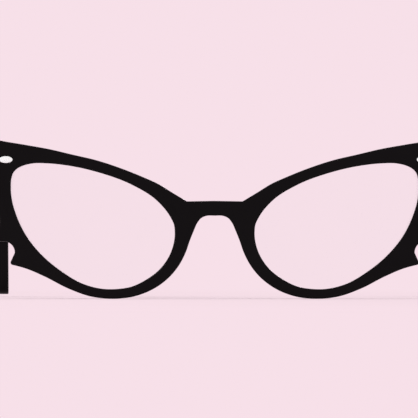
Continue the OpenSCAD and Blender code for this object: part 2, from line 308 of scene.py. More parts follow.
class PlateMesh:
    """A closed plate between two height fields, with rounded edges, grooves and seats.

    Attributes:
        EDGE_STEPS: steps round each rounded edge.
        HOLD: width of the ring of faces that keeps a face flat beside its rounded edge.
        GROOVE_WEAR: wear of the lips of a groove.
        SEAT_WEAR: wear of the mouth of a seat.
        SEAT_DROP: drop of a seat's broken edge, as a share of its width.
        FLOOR_SPACING: distance between the points on the floor of a seat.
        ROW_SHARE: distance between rows of points within a face, as a share of their spacing.
        RIM_SHARE: how far these points stay from an edge, as a share of their spacing.
        GUIDE_SHARE: how far they stay from a guide line, as a share of their spacing.
        GUIDE_GAP: how far the points of a guide line stay from an edge.
        GUIDE_BREAK: a gap from this length on cuts a guide line in two.
        SAME: distance within which two points are one.
    """

    EDGE_STEPS = 5
    HOLD = 0.05
    GROOVE_WEAR = 0.4
    SEAT_WEAR = 0.5
    SEAT_DROP = 0.7
    FLOOR_SPACING = 5.0
    ROW_SHARE = 0.866
    RIM_SHARE = 0.55
    GUIDE_SHARE = 0.3
    GUIDE_GAP = 0.12
    GUIDE_BREAK = 1.0
    SAME = 1e-9

    def __init__(self, near: Height, far: Height, place: Place) -> None:
        """Starts an empty plate.

        Args:
            near: height of the near face over points of the plane.
            far: height of the far face, above the near one.
            place: puts plane points and heights into space, in millimetres.
        """
        self.near, self.far, self.place = near, far, place
        self.plane: list[np.ndarray] = []
        self.height: list[np.ndarray] = []
        self.wear: list[np.ndarray] = []
        self.faces: list[tuple[int, ...]] = []
        self.count = 0

    def ring(self, points: np.ndarray, height: np.ndarray, wear: float = 0.0) -> np.ndarray:
        """Adds points to the mesh.

        Args:
            points: where they are in the plane.
            height: how high they are.
            wear: how worn the mesh is there, from 0 to 1.

        Returns:
            Their indexes.
        """
        self.plane.append(points)
        self.height.append(np.broadcast_to(height, len(points)).astype(float))
        self.wear.append(np.full(len(points), wear))
        self.count += len(points)
        return np.arange(self.count - len(points), self.count)

    def join(self, rings: Sequence[Ring]) -> None:
        """Joins rings, one after another, with four-sided faces.

        Args:
            rings: rings of the same number of points.
        """
        for (_, first), (_, second) in zip(rings, rings[1:]):
            for corners in zip(first, np.roll(first, -1), np.roll(second, -1), second):
                self.faces.append(tuple(int(corner) for corner in corners))

    @staticmethod
    def rounding(radius: float, turn: float) -> tuple[float, float, float]:
        """Inset, depth and wear of a rounded edge at one turn round it, in radians."""
        return radius * (1 - math.cos(turn)), radius * (1 - math.sin(turn)), math.sin(2 * turn)

    def wall(self, wall: Wall) -> tuple[Ring, Ring]:
        """Builds the wall along an outline.

        Args:
            wall: the outline and its edges.

        Returns:
            The rings that the near and the far face meet.
        """
        inward = 1 if wall.hole else -1
        quarter, last = math.pi / 2, self.EDGE_STEPS
        rows = [(wall.near_round + self.HOLD, 0.0, 0.0, True)]
        rows += [(*self.rounding(wall.near_round, quarter * (1 - k / last)), True) for k in range(last + 1)]
        if wall.groove is not None:
            depth, start, stop = wall.groove
            rows += [(0, start, self.GROOVE_WEAR, True), (depth, start, 0, True),
                     (depth, stop, 0, True), (0, stop, self.GROOVE_WEAR, True)]
        rows += [(*self.rounding(wall.far_round, quarter * k / last), False) for k in range(last + 1)]
        rows.append((wall.far_round + self.HOLD, 0.0, 0.0, False))
        rings: list[Ring] = []
        for inset, depth, wear, from_near in rows:
            points = offset(wall.loop, inward * inset)
            height = self.near(points) + depth if from_near else self.far(points) - depth
            rings.append((points, self.ring(points, height, wear)))
        self.join(rings)
        return rings[0], rings[-1]

    def seat(self, seat: Seat, surface: Height) -> Ring:
        """Builds a recess.

        Args:
            seat: the recess.
            surface: height of the face that it lies in.

        Returns:
            The ring at which its mouth meets the face.
        """

        def broken(points: np.ndarray) -> np.ndarray:
            """Height of the foot of the broken edge."""
            drop = self.SEAT_DROP * seat.edge
            return surface(points) + drop * np.sign(seat.floor(points) - surface(points))

        rings: list[Ring] = []
        for out, height in ((seat.edge, surface), (0.0, broken), (0.0, seat.floor)):
            points = offset(seat.loop, out)
            rings.append((points, self.ring(points, height(points), self.SEAT_WEAR)))
        self.join(rings)
        self.fill([rings[-1]], seat.floor, self.FLOOR_SPACING)
        return rings[0]

    def spread(self, rings: Sequence[Ring], spacing: float, guides: Sequence[Outline]) -> list[Outline]:
        """Lays out the points within a face.

        Args:
            rings: the rings round the face, the outer one first.
            spacing: distance between the points.
            guides: open lines of points that the face follows.

        Returns:
            First an even field of points and then those of each guide line, all clear of the rings.
        """
        outer = rings[0][0]
        low, high = outer.min(axis=0), outer.max(axis=0)
        across = np.arange(low[0] + spacing / 2, high[0], spacing)
        rows = np.arange(low[1] + spacing / 2, high[1], spacing * self.ROW_SHARE)
        even = np.array([(x + (i % 2) * spacing / 2, z) for i, z in enumerate(rows) for x in across])
        free = [even.reshape(-1, 2), *guides]
        for i, (points, _) in enumerate(rings):
            for k, some in enumerate(free):
                reach = self.GUIDE_GAP if k else self.RIM_SHARE * spacing
                some = some[inside(some, points) == (i == 0)]
                free[k] = some[clearance(some, points) > reach]
        for line in free[1:]:
            free[0] = free[0][clearance(free[0], line) > self.GUIDE_SHARE * spacing]
        return free

    def fill(self, rings: Sequence[Ring], surface: Height, spacing: float,
             guides: Sequence[Outline] = ()) -> None:
        """Fills a face between one outer ring and any number of inner rings.

        Args:
            rings: the rings, the outer one first.
            surface: height of the face.
            spacing: distance between the points added within it.
            guides: open lines of points that the face follows, such as the top and foot of a slope.
        """
        free = self.spread(rings, spacing, guides)
        ids = [int(index) for _, ring in rings for index in ring]
        edges, start = [], 0
        for points, _ in rings:
            count = len(points)
            edges += [(start + i, start + (i + 1) % count) for i in range(count)]
            start += count
        for k, some in enumerate(free):
            ids += [int(index) for index in self.ring(some, surface(some))]
            if k:
                gaps = np.linalg.norm(np.diff(some, axis=0), axis=1)
                unbroken = np.flatnonzero(gaps < self.GUIDE_BREAK).tolist()
                edges += [(start + i, start + i + 1) for i in unbroken]
            start += len(some)
        flat = np.concatenate([points for points, _ in rings] + free)
        made = delaunay_2d_cdt([Vector(point) for point in flat], edges, [], 0, self.SAME, True)
        coords, triangles, origin = made[0], made[2], made[3]
        middle = np.array([[sum(coords[v][k] for v in t) / 3 for k in (0, 1)] for t in triangles])
        keep = inside(middle, rings[0][0])
        for points, _ in rings[1:]:
            keep &= ~inside(middle, points)
        for triangle, kept in zip(triangles, keep):
            if kept:
                self.faces.append(tuple(ids[origin[corner][0]] for corner in triangle))

    def build(self, name: str, walls: Sequence[Wall], near_seats: Sequence[Seat] = (),
              far_seats: Sequence[Seat] = (), spacing: float = 1.5,
              guides: Sequence[Outline] = ()) -> bpy.types.Object:
        """Makes the whole plate.

        Args:
            name: the piece's name.
            walls: the outer wall first, then the walls of the openings.
            near_seats: recesses in the near face.
            far_seats: recesses in the far face.
            spacing: distance between the points within the faces.
            guides: lines that the far face follows.

        Returns:
            The new piece, with an attribute that marks its worn edges.
        """
        ends = [self.wall(wall) for wall in walls]
        near = [end[0] for end in ends] + [self.seat(seat, self.near) for seat in near_seats]
        far = [end[1] for end in ends] + [self.seat(seat, self.far) for seat in far_seats]
        self.fill(near, self.near, spacing)
        self.fill(far, self.far, spacing, guides)
        places = self.place(np.concatenate(self.plane), np.concatenate(self.height)) * MM
        return make_piece(name, places, self.faces, np.concatenate(self.wear))


def make_piece(name: str, points: np.ndarray, faces: Sequence,
               wear: np.ndarray | None = None) -> bpy.types.Object:
    """Makes a closed piece.

    Args:
        name: the piece's name.
        points: one row for each vertex, in metres.
        faces: the vertex indexes of each face.
        wear: how worn each vertex is, from 0 to 1.

    Returns:
        The new object at the origin.
    """
    mesh = bpy.data.meshes.new(name)
    mesh.from_pydata([tuple(point) for point in points], [], [tuple(face) for face in faces])
    marks = mesh.attributes.new(WEAR_MARKS, "FLOAT", "POINT")
    marks.data.foreach_set("value", (np.zeros(len(points)) if wear is None else wear).astype(np.float32))
    piece = placed(mesh)
    close_up(piece)
    return piece


def placed(data: bpy.types.ID) -> bpy.types.Object:
    """Puts a mesh, a lamp or a camera into the scene.

    Args:
        data: the mesh, lamp or camera.

    Returns:
        An object of the same name, at the origin.
    """
    thing = bpy.data.objects.new(data.name, data)
    bpy.context.scene.collection.objects.link(thing)
    return thing


def from_work(name: str, work: bmesh.types.BMesh) -> bpy.types.Object:
    """Turns a working mesh into an object.

    Args:
        name: the object's name.
        work: the working mesh, which is freed.

    Returns:
        The object, at the origin.
    """
    mesh = bpy.data.meshes.new(name)
    work.to_mesh(mesh)
    work.free()
    return placed(mesh)


def face_out(work: bmesh.types.BMesh) -> None:
    """Turns every face of a closed working mesh outward.

    Args:
        work: the working mesh.
    """
    bmesh.ops.recalc_face_normals(work, faces=work.faces)
    if work.calc_volume(signed=True) < 0:
        bmesh.ops.reverse_faces(work, faces=work.faces)


def shade(piece: bpy.types.Object, sharp: float = SHARP) -> None:
    """Shades a piece smooth, but for edges from a sharp angle on, in degrees."""
    piece.data.shade_smooth()
    piece.data.set_sharp_from_angle(angle=math.radians(sharp))


def close_up(piece: bpy.types.Object) -> None:
    """Welds a piece's seams, turns its faces outward and shades it.

    Args:
        piece: the piece.
    """
    work = bmesh.new()
    work.from_mesh(piece.data)
    bmesh.ops.remove_doubles(work, verts=work.verts, dist=WELD)
    bmesh.ops.dissolve_degenerate(work, edges=work.edges, dist=SLIVER)
    face_out(work)
    work.to_mesh(piece.data)
    work.free()
    shade(piece)


def mirrored(piece: bpy.types.Object, name: str) -> bpy.types.Object:
    """Copies a left piece for the right side.

    Args:
        piece: the left piece.
        name: the right piece's name.

    Returns:
        The right piece, with its faces turned outward again.
    """
    mesh = piece.data.copy()
    mesh.name = name
    mesh.transform(Matrix.Scale(-1, 4, Vector((1, 0, 0))))
    twin = placed(mesh)
    close_up(twin)
    return twin


def cut_box(piece: bpy.types.Object, low: Sequence[float], high: Sequence[float]) -> None:
    """Cuts a box out of a piece.

    Args:
        piece: the piece.
        low: the box's low corner, in millimetres.
        high: its high corner.
    """
    work = bmesh.new()
    size, middle = (Vector(high) - Vector(low)) * MM, (Vector(high) + Vector(low)) * MM / 2
    bmesh.ops.create_cube(work, matrix=Matrix.Translation(middle) @ Matrix.Diagonal(size).to_4x4())
    cutter = from_work("cutter", work)
    modifier = piece.modifiers.new("seat", "BOOLEAN")
    modifier.solver, modifier.object = "EXACT", cutter
    applied(piece)
    bpy.data.objects.remove(cutter)
    close_up(piece)


def applied(piece: bpy.types.Object) -> bpy.types.Object:
    """Turns a piece's modifiers into plain mesh and removes them.

    Args:
        piece: the piece.

    Returns:
        The same piece.
    """
    graph = bpy.context.evaluated_depsgraph_get()
    ready = piece.evaluated_get(graph)
    mesh = bpy.data.meshes.new_from_object(ready, preserve_all_data_layers=True, depsgraph=graph)
    piece.modifiers.clear()
    old, piece.data = piece.data, mesh
    mesh.name = piece.name
    bpy.data.meshes.remove(old)
    return piece


# Finishes

Colour = tuple[float, float, float, float]
Socket = bpy.types.NodeSocket


class Graph:
    """A node tree with short calls that add and join nodes."""

    def __init__(self, tree: bpy.types.NodeTree) -> None:
        """Takes a node tree and clears it."""
        self.tree = tree
        tree.nodes.clear()

    def feed(self, node: bpy.types.Node, inputs: dict) -> None:
        """Fills a node's inputs.

        Args:
            node: the node.
            inputs: values or output sockets for its inputs, by name or number.
        """
        for key, value in inputs.items():
            if isinstance(value, Socket):
                self.tree.links.new(value, node.inputs[key])
            else:
                node.inputs[key].default_value = value

    def add(self, kind: str, inputs: dict | None = None, **settings: object) -> bpy.types.Node:
        """Adds a node.

        Args:
            kind: the node's type.
            inputs: values or output sockets for its inputs, by name or number.
            settings: properties of the node, set before its inputs.

        Returns:
            The new node.
        """
        node = self.tree.nodes.new(kind)
        for key, value in settings.items():
            setattr(node, key, value)
        self.feed(node, inputs or {})
        return node

    def first(self, kind: str, inputs: dict | None = None, **settings: object) -> Socket:
        """Adds a node and returns its first output."""
        return self.add(kind, inputs, **settings).outputs[0]

    def math(self, operation: str, a: object, b: object = 0.0, clamp: bool = False) -> Socket:
        """Adds a sum of two numbers and returns its result."""
        return self.first("ShaderNodeMath", {0: a, 1: b}, operation=operation, use_clamp=clamp)

    def ranged(self, value: object, low: float, high: float, start: float = 0.0, stop: float = 1.0,
               **settings: object) -> Socket:
        """Maps a number that runs from start to stop onto low to high and returns it."""
        sockets = {"Value": value, "From Min": start, "From Max": stop, "To Min": low, "To Max": high}
        return self.add("ShaderNodeMapRange", sockets, **settings).outputs["Result"]

    def mix(self, factor: object, a: object, b: object) -> Socket:
        """Mixes two colours and returns the result."""
        # A mix node has its two colours at 6 and 7, and the mixed colour at 2.
        return self.add("ShaderNodeMix", {0: factor, 6: a, 7: b}, data_type="RGBA").outputs[2]

    def noise(self, vector: object, scale: object, detail: float = 2.0, rough: float = 0.5) -> Socket:
        """Adds a noise and returns its value."""
        sockets = {"Vector": vector, "Scale": scale, "Detail": detail, "Roughness": rough}
        return self.add("ShaderNodeTexNoise", sockets).outputs["Fac"]

    def bump(self, height: object, depth: float, strength: float = 0.5) -> Socket:
        """Turns a relief of a given depth, in metres, into a normal."""
        return self.first("ShaderNodeBump", {"Strength": strength, "Distance": depth, "Height": height})

    def shown(self, share: object, first: Socket, second: Socket) -> Socket:
        """Mixes two shaders and returns the result."""
        return self.first("ShaderNodeMixShader", {0: share, 1: first, 2: second})


def new_group(name: str, kind: str, inputs: Sequence[tuple],
              outputs: Sequence[tuple]) -> tuple[Graph, Mapping[str, Socket], bpy.types.Node]:
    """Starts a node group with named sockets.

    Args:
        name: the group's name.
        kind: the type of its tree.
        inputs: name and socket type of each input, and its default where it has one.
        outputs: name and socket type of each output.

    Returns:
        The graph, the outputs of its input node, and its output node.
    """
    tree = bpy.data.node_groups.new(name, kind)
    for label, socket_type, *default in inputs:
        socket = tree.interface.new_socket(label, in_out="INPUT", socket_type=socket_type)
        if default:
            socket.default_value = default[0]
    for label, socket_type in outputs:
        tree.interface.new_socket(label, in_out="OUTPUT", socket_type=socket_type)
    graph = Graph(tree)
    return graph, graph.add("NodeGroupInput").outputs, graph.add("NodeGroupOutput")


def polish_group() -> bpy.types.NodeTree:
    """Hand-polished surface: a faint ripple, fine hairlines and smears, worn along the edges.

    Returns:
        A group with a smear mask, a wear mask and a relief height.
    """
    number, vector = "NodeSocketFloat", "NodeSocketVector"
    graph, given, out = new_group(
        "hand_polish", "ShaderNodeTree",
        [("Vector", vector), ("Ripple Scale", number, 420.0), ("Hairline Scale", number, 9000.0),
         ("Smear Scale", number, 70.0), ("Hairline Share", number, 0.12)],
        [("Smear", number), ("Wear", number), ("Height", number)],
    )
    place = given["Vector"]
    ripple = graph.noise(place, given["Ripple Scale"], detail=1.5)
    hairs = []
    for turn, stretch in (((0.3, 0.5, 0.4), (1.0, 0.05, 0.05)), ((-0.7, 0.2, 1.1), (0.05, 1.0, 0.05))):
        lay = graph.first("ShaderNodeMapping", {"Vector": place, "Rotation": turn, "Scale": stretch})
        hairs.append(graph.noise(lay, given["Hairline Scale"], detail=2.0, rough=0.7))
    lines = graph.math("MULTIPLY", graph.math("ADD", *hairs), given["Hairline Share"])
    smears = graph.noise(place, given["Smear Scale"], detail=4.0, rough=0.62)
    spots = graph.noise(place, scale=900.0, detail=3.0)
    patches = graph.ranged(spots, low=0.1, high=1.0, start=0.35, stop=0.7)
    marks = graph.add("ShaderNodeAttribute", attribute_name=WEAR_MARKS, attribute_type="GEOMETRY")
    graph.feed(out, {"Smear": graph.ranged(smears, low=0.0, high=1.0, start=0.42, stop=0.72),
                     "Wear": graph.math("MULTIPLY", marks.outputs["Fac"], patches, clamp=True),
                     "Height": graph.math("ADD", ripple, lines)})
    return graph.tree


def brush_group() -> bpy.types.NodeTree:
    """Brushed metal: lines along one direction, with broader streaks under them.

    Returns:
        A group with a streak mask and a relief height.
    """
    number, vector = "NodeSocketFloat", "NodeSocketVector"
    graph, given, out = new_group(
        "brushed_lines", "ShaderNodeTree",
        [("Vector", vector), ("Direction", vector, Lay.UPRIGHT.value), ("Line Scale", number, 14000.0),
         ("Streak Scale", number, 2200.0)],
        [("Streak", number), ("Height", number)],
    )
    sides = {0: given["Vector"], 1: given["Direction"]}
    lay = graph.first("ShaderNodeVectorMath", sides, operation="MULTIPLY")
    lines = graph.noise(lay, given["Line Scale"], detail=3.0, rough=0.6)
    streak = graph.noise(lay, given["Streak Scale"], detail=3.0, rough=0.5)
    graph.feed(out, {"Streak": graph.ranged(streak, low=0.0, high=1.0, start=0.3, stop=0.7),
                     "Height": graph.math("ADD", lines, graph.math("MULTIPLY", streak, 0.5))})
    return graph.tree


class Groups:
    """The shader groups that several finishes share, each built once."""

    def __init__(self) -> None:
        """Builds the groups."""
        self.polish, self.brush = polish_group(), brush_group()


class Finish:
    """What every finish shares: one material round a Principled shader, on Object coordinates."""

    name: str

    def make(self, groups: Groups) -> bpy.types.Material:
        """Builds the material.

        Args:
            groups: the shared shader groups.

        Returns:
            The new material.
        """
        material = bpy.data.materials.new(self.name)
        material.use_nodes = True
        graph = Graph(material.node_tree)
        shader = graph.add("ShaderNodeBsdfPrincipled")
        place = graph.add("ShaderNodeTexCoord").outputs["Object"]
        graph.feed(shader, self.paint(graph, place, groups))
        graph.add("ShaderNodeOutputMaterial", {"Surface": self.cover(graph, shader.outputs[0])})
        return material

    def paint(self, graph: Graph, place: Socket, groups: Groups) -> dict:
        """Returns what feeds the shader's inputs."""
        raise NotImplementedError

    def cover(self, graph: Graph, shader: Socket) -> Socket:
        """Returns what the material shows: here the shader itself."""
        return shader


@dataclass(frozen=True)
class Acetate(Finish):
    """Solid black acetate, tumbled and polished.

    Attributes:
        name: the material's name.
        deep: colour of the body of the sheet.
        milky: colour where the sheet is a trace lighter.
        gloss: roughness where it is clean.
        smeared: roughness added by smears.
        dulled: roughness added by wear.
        paled: how milky the most worn edge is, from 0 to 1.
        cloud: scale of the cloud in the sheet.
        shine: specular level.
        refraction: index of refraction.
        relief: depth of the ripple and hairlines, in metres.
    """

    name: str = "black_acetate"
    deep: Colour = (0.0006, 0.0006, 0.0007, 1)
    milky: Colour = (0.0022, 0.0021, 0.0023, 1)
    gloss: float = 0.09
    smeared: float = 0.07
    dulled: float = 0.06
    paled: float = 0.9
    cloud: float = 55.0
    shine: float = 0.1
    refraction: float = 1.48
    relief: float = 6e-6

    def paint(self, graph: Graph, place: Socket, groups: Groups) -> dict:
        """Makes the cloud in the sheet, the smears and the polished relief.

        Args:
            graph: the material's graph.
            place: the Object coordinates.
            groups: the shared shader groups.

        Returns:
            What feeds the shader's inputs.
        """
        smear, wear, height = graph.add("ShaderNodeGroup", {"Vector": place}, node_tree=groups.polish).outputs
        mist = graph.noise(place, self.cloud, detail=3.0)
        cloud = graph.ranged(mist, low=0.0, high=0.6, start=0.35, stop=0.7)
        pale = graph.math("MAXIMUM", cloud, graph.math("MULTIPLY", wear, self.paled))
        smeared = graph.ranged(smear, self.gloss, self.gloss + self.smeared)
        return {"Base Color": graph.mix(pale, self.deep, self.milky),
                "Roughness": graph.math("ADD", smeared, graph.math("MULTIPLY", wear, self.dulled)),
                "Normal": graph.bump(height, self.relief),
                "Specular IOR Level": self.shine,
                "IOR": self.refraction}


@dataclass(frozen=True)
class Enamel(Finish):
    """White fired enamel with a faint cloud in it.

    Attributes:
        name: the material's name.
        white: its colour.
        cream: its colour in the cloud and along its rim.
        gloss: roughness where it is clean.
        smeared: roughness added by smears.
        cloud: scale of the cloud.
        ripple: scale of the ripple.
        smear: scale of the smears.
        relief: depth of the ripple, in metres.
    """

    name: str = "fired_enamel"
    white: Colour = (0.93, 0.985, 0.965, 1)
    cream: Colour = (0.91, 0.945, 0.92, 1)
    gloss: float = 0.12
    smeared: float = 0.1
    cloud: float = 1400.0
    ripple: float = 1500.0
    smear: float = 900.0
    relief: float = 4e-6

    def paint(self, graph: Graph, place: Socket, groups: Groups) -> dict:
        """Makes the cloudy white, cream along its worn rim, and a polished relief.

        Args:
            graph: the material's graph.
            place: the Object coordinates.
            groups: the shared shader groups.

        Returns:
            What feeds the shader's inputs.
        """
        inputs = {"Vector": place, "Ripple Scale": self.ripple, "Smear Scale": self.smear}
        smear, wear, height = graph.add("ShaderNodeGroup", inputs, node_tree=groups.polish).outputs
        mist = graph.noise(place, self.cloud, detail=3.0)
        cloud = graph.ranged(mist, low=0.0, high=0.5, start=0.4, stop=0.75)
        return {"Base Color": graph.mix(graph.math("MAXIMUM", cloud, wear), self.white, self.cream),
                "Roughness": graph.ranged(smear, self.gloss, self.gloss + self.smeared),
                "Normal": graph.bump(height, self.relief, strength=0.4)}


@dataclass(frozen=True)
class Metal(Finish):
    """Brushed or drawn metal.

    Attributes:
        name: the material's name.
        bright: colour where it is freshly rubbed.
        dull: colour in the streaks and the tarnish.
        lay: which way the lines run.
        gloss: lowest roughness.
        spread: roughness added by streaks and tarnish.
        streaked: how strongly the streaks show, from 0 to 1.
        tarnish: scale of the tarnish.
        relief: depth of the lines, in metres.
    """

    name: str
    bright: Colour
    dull: Colour
    lay: Lay = Lay.UPRIGHT
    gloss: float = 0.26
    spread: float = 0.16
    streaked: float = 0.45
    tarnish: float = 700.0
    relief: float = 4e-6

    def paint(self, graph: Graph, place: Socket, groups: Groups) -> dict:
        """Makes the streaks, the tarnish and the lines.

        Args:
            graph: the material's graph.
            place: the Object coordinates.
            groups: the shared shader groups.

        Returns:
            What feeds the shader's inputs.
        """
        inputs = {"Vector": place, "Direction": self.lay.value}
        streak, height = graph.add("ShaderNodeGroup", inputs, node_tree=groups.brush).outputs
        spots = graph.noise(place, self.tarnish, detail=4.0, rough=0.6)
        tarnish = graph.ranged(spots, low=0.0, high=0.5, start=0.45, stop=0.75)
        share = graph.math("ADD", graph.math("MULTIPLY", streak, self.streaked), tarnish)
        return {"Base Color": graph.mix(share, self.bright, self.dull),
                "Metallic": 1.0,
                "Roughness": graph.ranged(share, self.gloss, self.gloss + self.spread),
                "Normal": graph.bump(height, self.relief)}


@dataclass(frozen=True)
class ClearLens(Finish):
    """Clear lens resin with the faintest smears, which lets the lamps through.

    Attributes:
        name: the material's name.
        tint: its colour.
        smudged: its colour under a smear.
        smeared: roughness of the thickest smear.
        smear: scale of the smears.
        refraction: index of refraction.
    """

    name: str = "lens_resin"
    tint: Colour = (0.985, 0.99, 0.99, 1)
    smudged: Colour = (0.975, 0.985, 0.985, 1)
    smeared: float = 0.03
    smear: float = 45.0
    refraction: float = 1.5

    def paint(self, graph: Graph, place: Socket, groups: Groups) -> dict:
        """Makes the smears on the clear resin.

        Args:
            graph: the material's graph.
            place: the Object coordinates.
            groups: the shared shader groups.

        Returns:
            What feeds the shader's inputs.
        """
        inputs = {"Vector": place, "Smear Scale": self.smear}
        smear = graph.first("ShaderNodeGroup", inputs, node_tree=groups.polish)
        return {"Base Color": graph.mix(smear, self.tint, self.smudged),
                "Transmission Weight": 1.0,
                "Roughness": graph.ranged(smear, 0.0, self.smeared),
                "IOR": self.refraction}

    def cover(self, graph: Graph, shader: Socket) -> Socket:
        """Lets through the light that falls on what lies behind the lens.

        Args:
            graph: the material's graph.
            shader: the resin's shader.

        Returns:
            The shader, or a clear pass for lamps and for light that is scattered onto the lens.
        """
        clear = graph.first("ShaderNodeBsdfTransparent", {"Color": self.tint})
        rays = graph.add("ShaderNodeLightPath").outputs
        return graph.shown(rays["Is Shadow Ray"], graph.shown(rays["Is Diffuse Ray"], shader, clear), clear)


# Turned pieces, made by Geometry Nodes


@dataclass(frozen=True)
class Row:
    """Where a row of alike turned pieces sits, in millimetres.

    Attributes:
        start: place of the first piece.
        step: way from one piece to the next.
        turn: turns about the three axes that bring the spinning axis from +Z to its place, in radians.
        count: how many pieces.
        facets: how many facets each piece has round it.
    """

    start: Sequence[float]
    step: Sequence[float]
    turn: Sequence[float]
    count: int = 2
    facets: int = 40


class Lathe:
    """Turns pieces: a profile spun about an axis and set along a line.

    Attributes:
        SPINDLE: radius of the circle that a profile is spun along, in metres.
        CLOSE: distance within which the ends of a profile close on the axis, in metres.
    """

    SPINDLE = 1e-5
    CLOSE = 3e-5

    def __init__(self) -> None:
        """Builds the node tree."""
        number, whole, vector = "NodeSocketFloat", "NodeSocketInt", "NodeSocketVector"
        graph, given, out = new_group(
            "turned_row", "GeometryNodeTree",
            [("Profile", "NodeSocketGeometry"), ("Facets", whole), ("Count", whole), ("Start", vector),
             ("Step", vector), ("Turn", vector), ("Weld", number), ("Finish", "NodeSocketMaterial")],
            [("Pieces", "NodeSocketGeometry")],
        )
        profile = graph.first("GeometryNodeMeshToCurve", {"Mesh": given["Profile"]})
        circle = graph.first("GeometryNodeCurvePrimitiveCircle",
                             {"Resolution": given["Facets"], "Radius": self.SPINDLE})
        spun = graph.first("GeometryNodeCurveToMesh", {"Curve": circle, "Profile Curve": profile})
        shut = graph.first("GeometryNodeMergeByDistance", {"Geometry": spun, "Distance": given["Weld"]})
        line = graph.first("GeometryNodeMeshLine", {"Count": given["Count"], "Start Location": given["Start"],
                                                    "Offset": given["Step"]})
        turn = graph.first("FunctionNodeEulerToRotation", {"Euler": given["Turn"]})
        row = graph.first("GeometryNodeInstanceOnPoints",
                          {"Points": line, "Instance": shut, "Rotation": turn})
        real = graph.first("GeometryNodeRealizeInstances", {"Geometry": row})
        painted = graph.first("GeometryNodeSetMaterial", {"Geometry": real, "Material": given["Finish"]})
        graph.feed(out, {"Pieces": painted})
        self.tree = graph.tree

    def turn(self, name: str, profile: Sequence[tuple[float, float]], row: Row,
             finish: bpy.types.Material) -> bpy.types.Object:
        """Makes a row of turned pieces.

        Args:
            name: the piece's name.
            profile: radius and height of each point, in millimetres, from one end of the axis to the other.
            row: where the pieces sit.
            finish: the material.

        Returns:
            The finished row as a plain mesh.
        """
        mesh = bpy.data.meshes.new(name)
        # Curve to Mesh lays a profile's height downward, so it goes in turned over.
        points = [(radius * MM, -height * MM, 0) for radius, height in profile]
        mesh.from_pydata(points, [(i, i + 1) for i in range(len(profile) - 1)], [])
        piece = placed(mesh)
        modifier = piece.modifiers.new("turned row", "NODES")
        modifier.node_group = self.tree
        values = {"Facets": row.facets, "Count": row.count, "Start": [v * MM for v in row.start],
                  "Step": [v * MM for v in row.step], "Turn": list(row.turn), "Weld": self.CLOSE,
                  "Finish": finish}
        for item in self.tree.interface.items_tree:
            if item.in_out == "INPUT" and item.name in values:
                modifier[item.identifier] = values[item.name]
        applied(piece)
        close_up(piece)
        return piece


# The workshop


class Workshop:
    """The finishes, the lathe, and the last steps that every piece goes through."""

    def __init__(self) -> None:
        """Mixes the finishes and sets up the lathe."""
        groups = Groups()
        self.lathe = Lathe()
        self.acetate = Acetate().make(groups)
        self.satin = Acetate("satin_acetate", gloss=0.26, smeared=0.14, shine=0.2).make(groups)
        self.resin = ClearLens().make(groups)
        self.enamel = Enamel().make(groups)
        self.nickel = Metal("nickel_silver", (0.66, 0.63, 0.57, 1), (0.45, 0.42, 0.37, 1)).make(groups)
        self.steel = Metal("turned_steel", (0.56, 0.56, 0.58, 1), (0.36, 0.36, 0.38, 1),
                           Lay.ACROSS, gloss=0.22).make(groups)
        self.rivet = Metal("rivet_nickel", (0.74, 0.72, 0.68, 1), (0.52, 0.50, 0.46, 1),
                           Lay.LENGTHWISE, gloss=0.16, spread=0.1).make(groups)
        self.wire = Metal("drawn_wire", (0.62, 0.60, 0.56, 1), (0.42, 0.40, 0.36, 1),
                          Lay.LENGTHWISE, gloss=0.3).make(groups)

    def finish(self, piece: bpy.types.Object, material: bpy.types.Material, slot: str, body: str,
               node: str) -> bpy.types.Object:
        """Dresses a piece.

        Args:
            piece: the piece.
            material: its material.
            slot: name of a material slot; not used.
            body: the body that it rides on.
            node: the node that it stands for.

        Returns:
            The same piece.
        """
        piece.data.materials.clear()
        piece.data.materials.append(material)
        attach(piece, body)
        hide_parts(node)
        return piece

    def finish_pair(self, left: bpy.types.Object, material: bpy.types.Material, slot: str, kind: str,
                    on_arm: bool = False) -> list[bpy.types.Object]:
        """Dresses a left piece and its mirrored twin.

        Args:
            left: the left piece, whose name starts with its side.
            material: the material of both.
            slot: name of a material slot, handed on to finish, which does not use it.
            kind: the node that they stand for, without its side.
            on_arm: True where they ride on the arms and not on the front.

        Returns:
            The left piece and the right one.
        """
        right = mirrored(left, left.name.replace(Side.LEFT.value, Side.RIGHT.value))
        return [self.finish(piece, material, slot, side.body if on_arm else FRONT_BODY, side.named(kind))
                for side, piece in zip(Side, (left, right))]


# The glasses


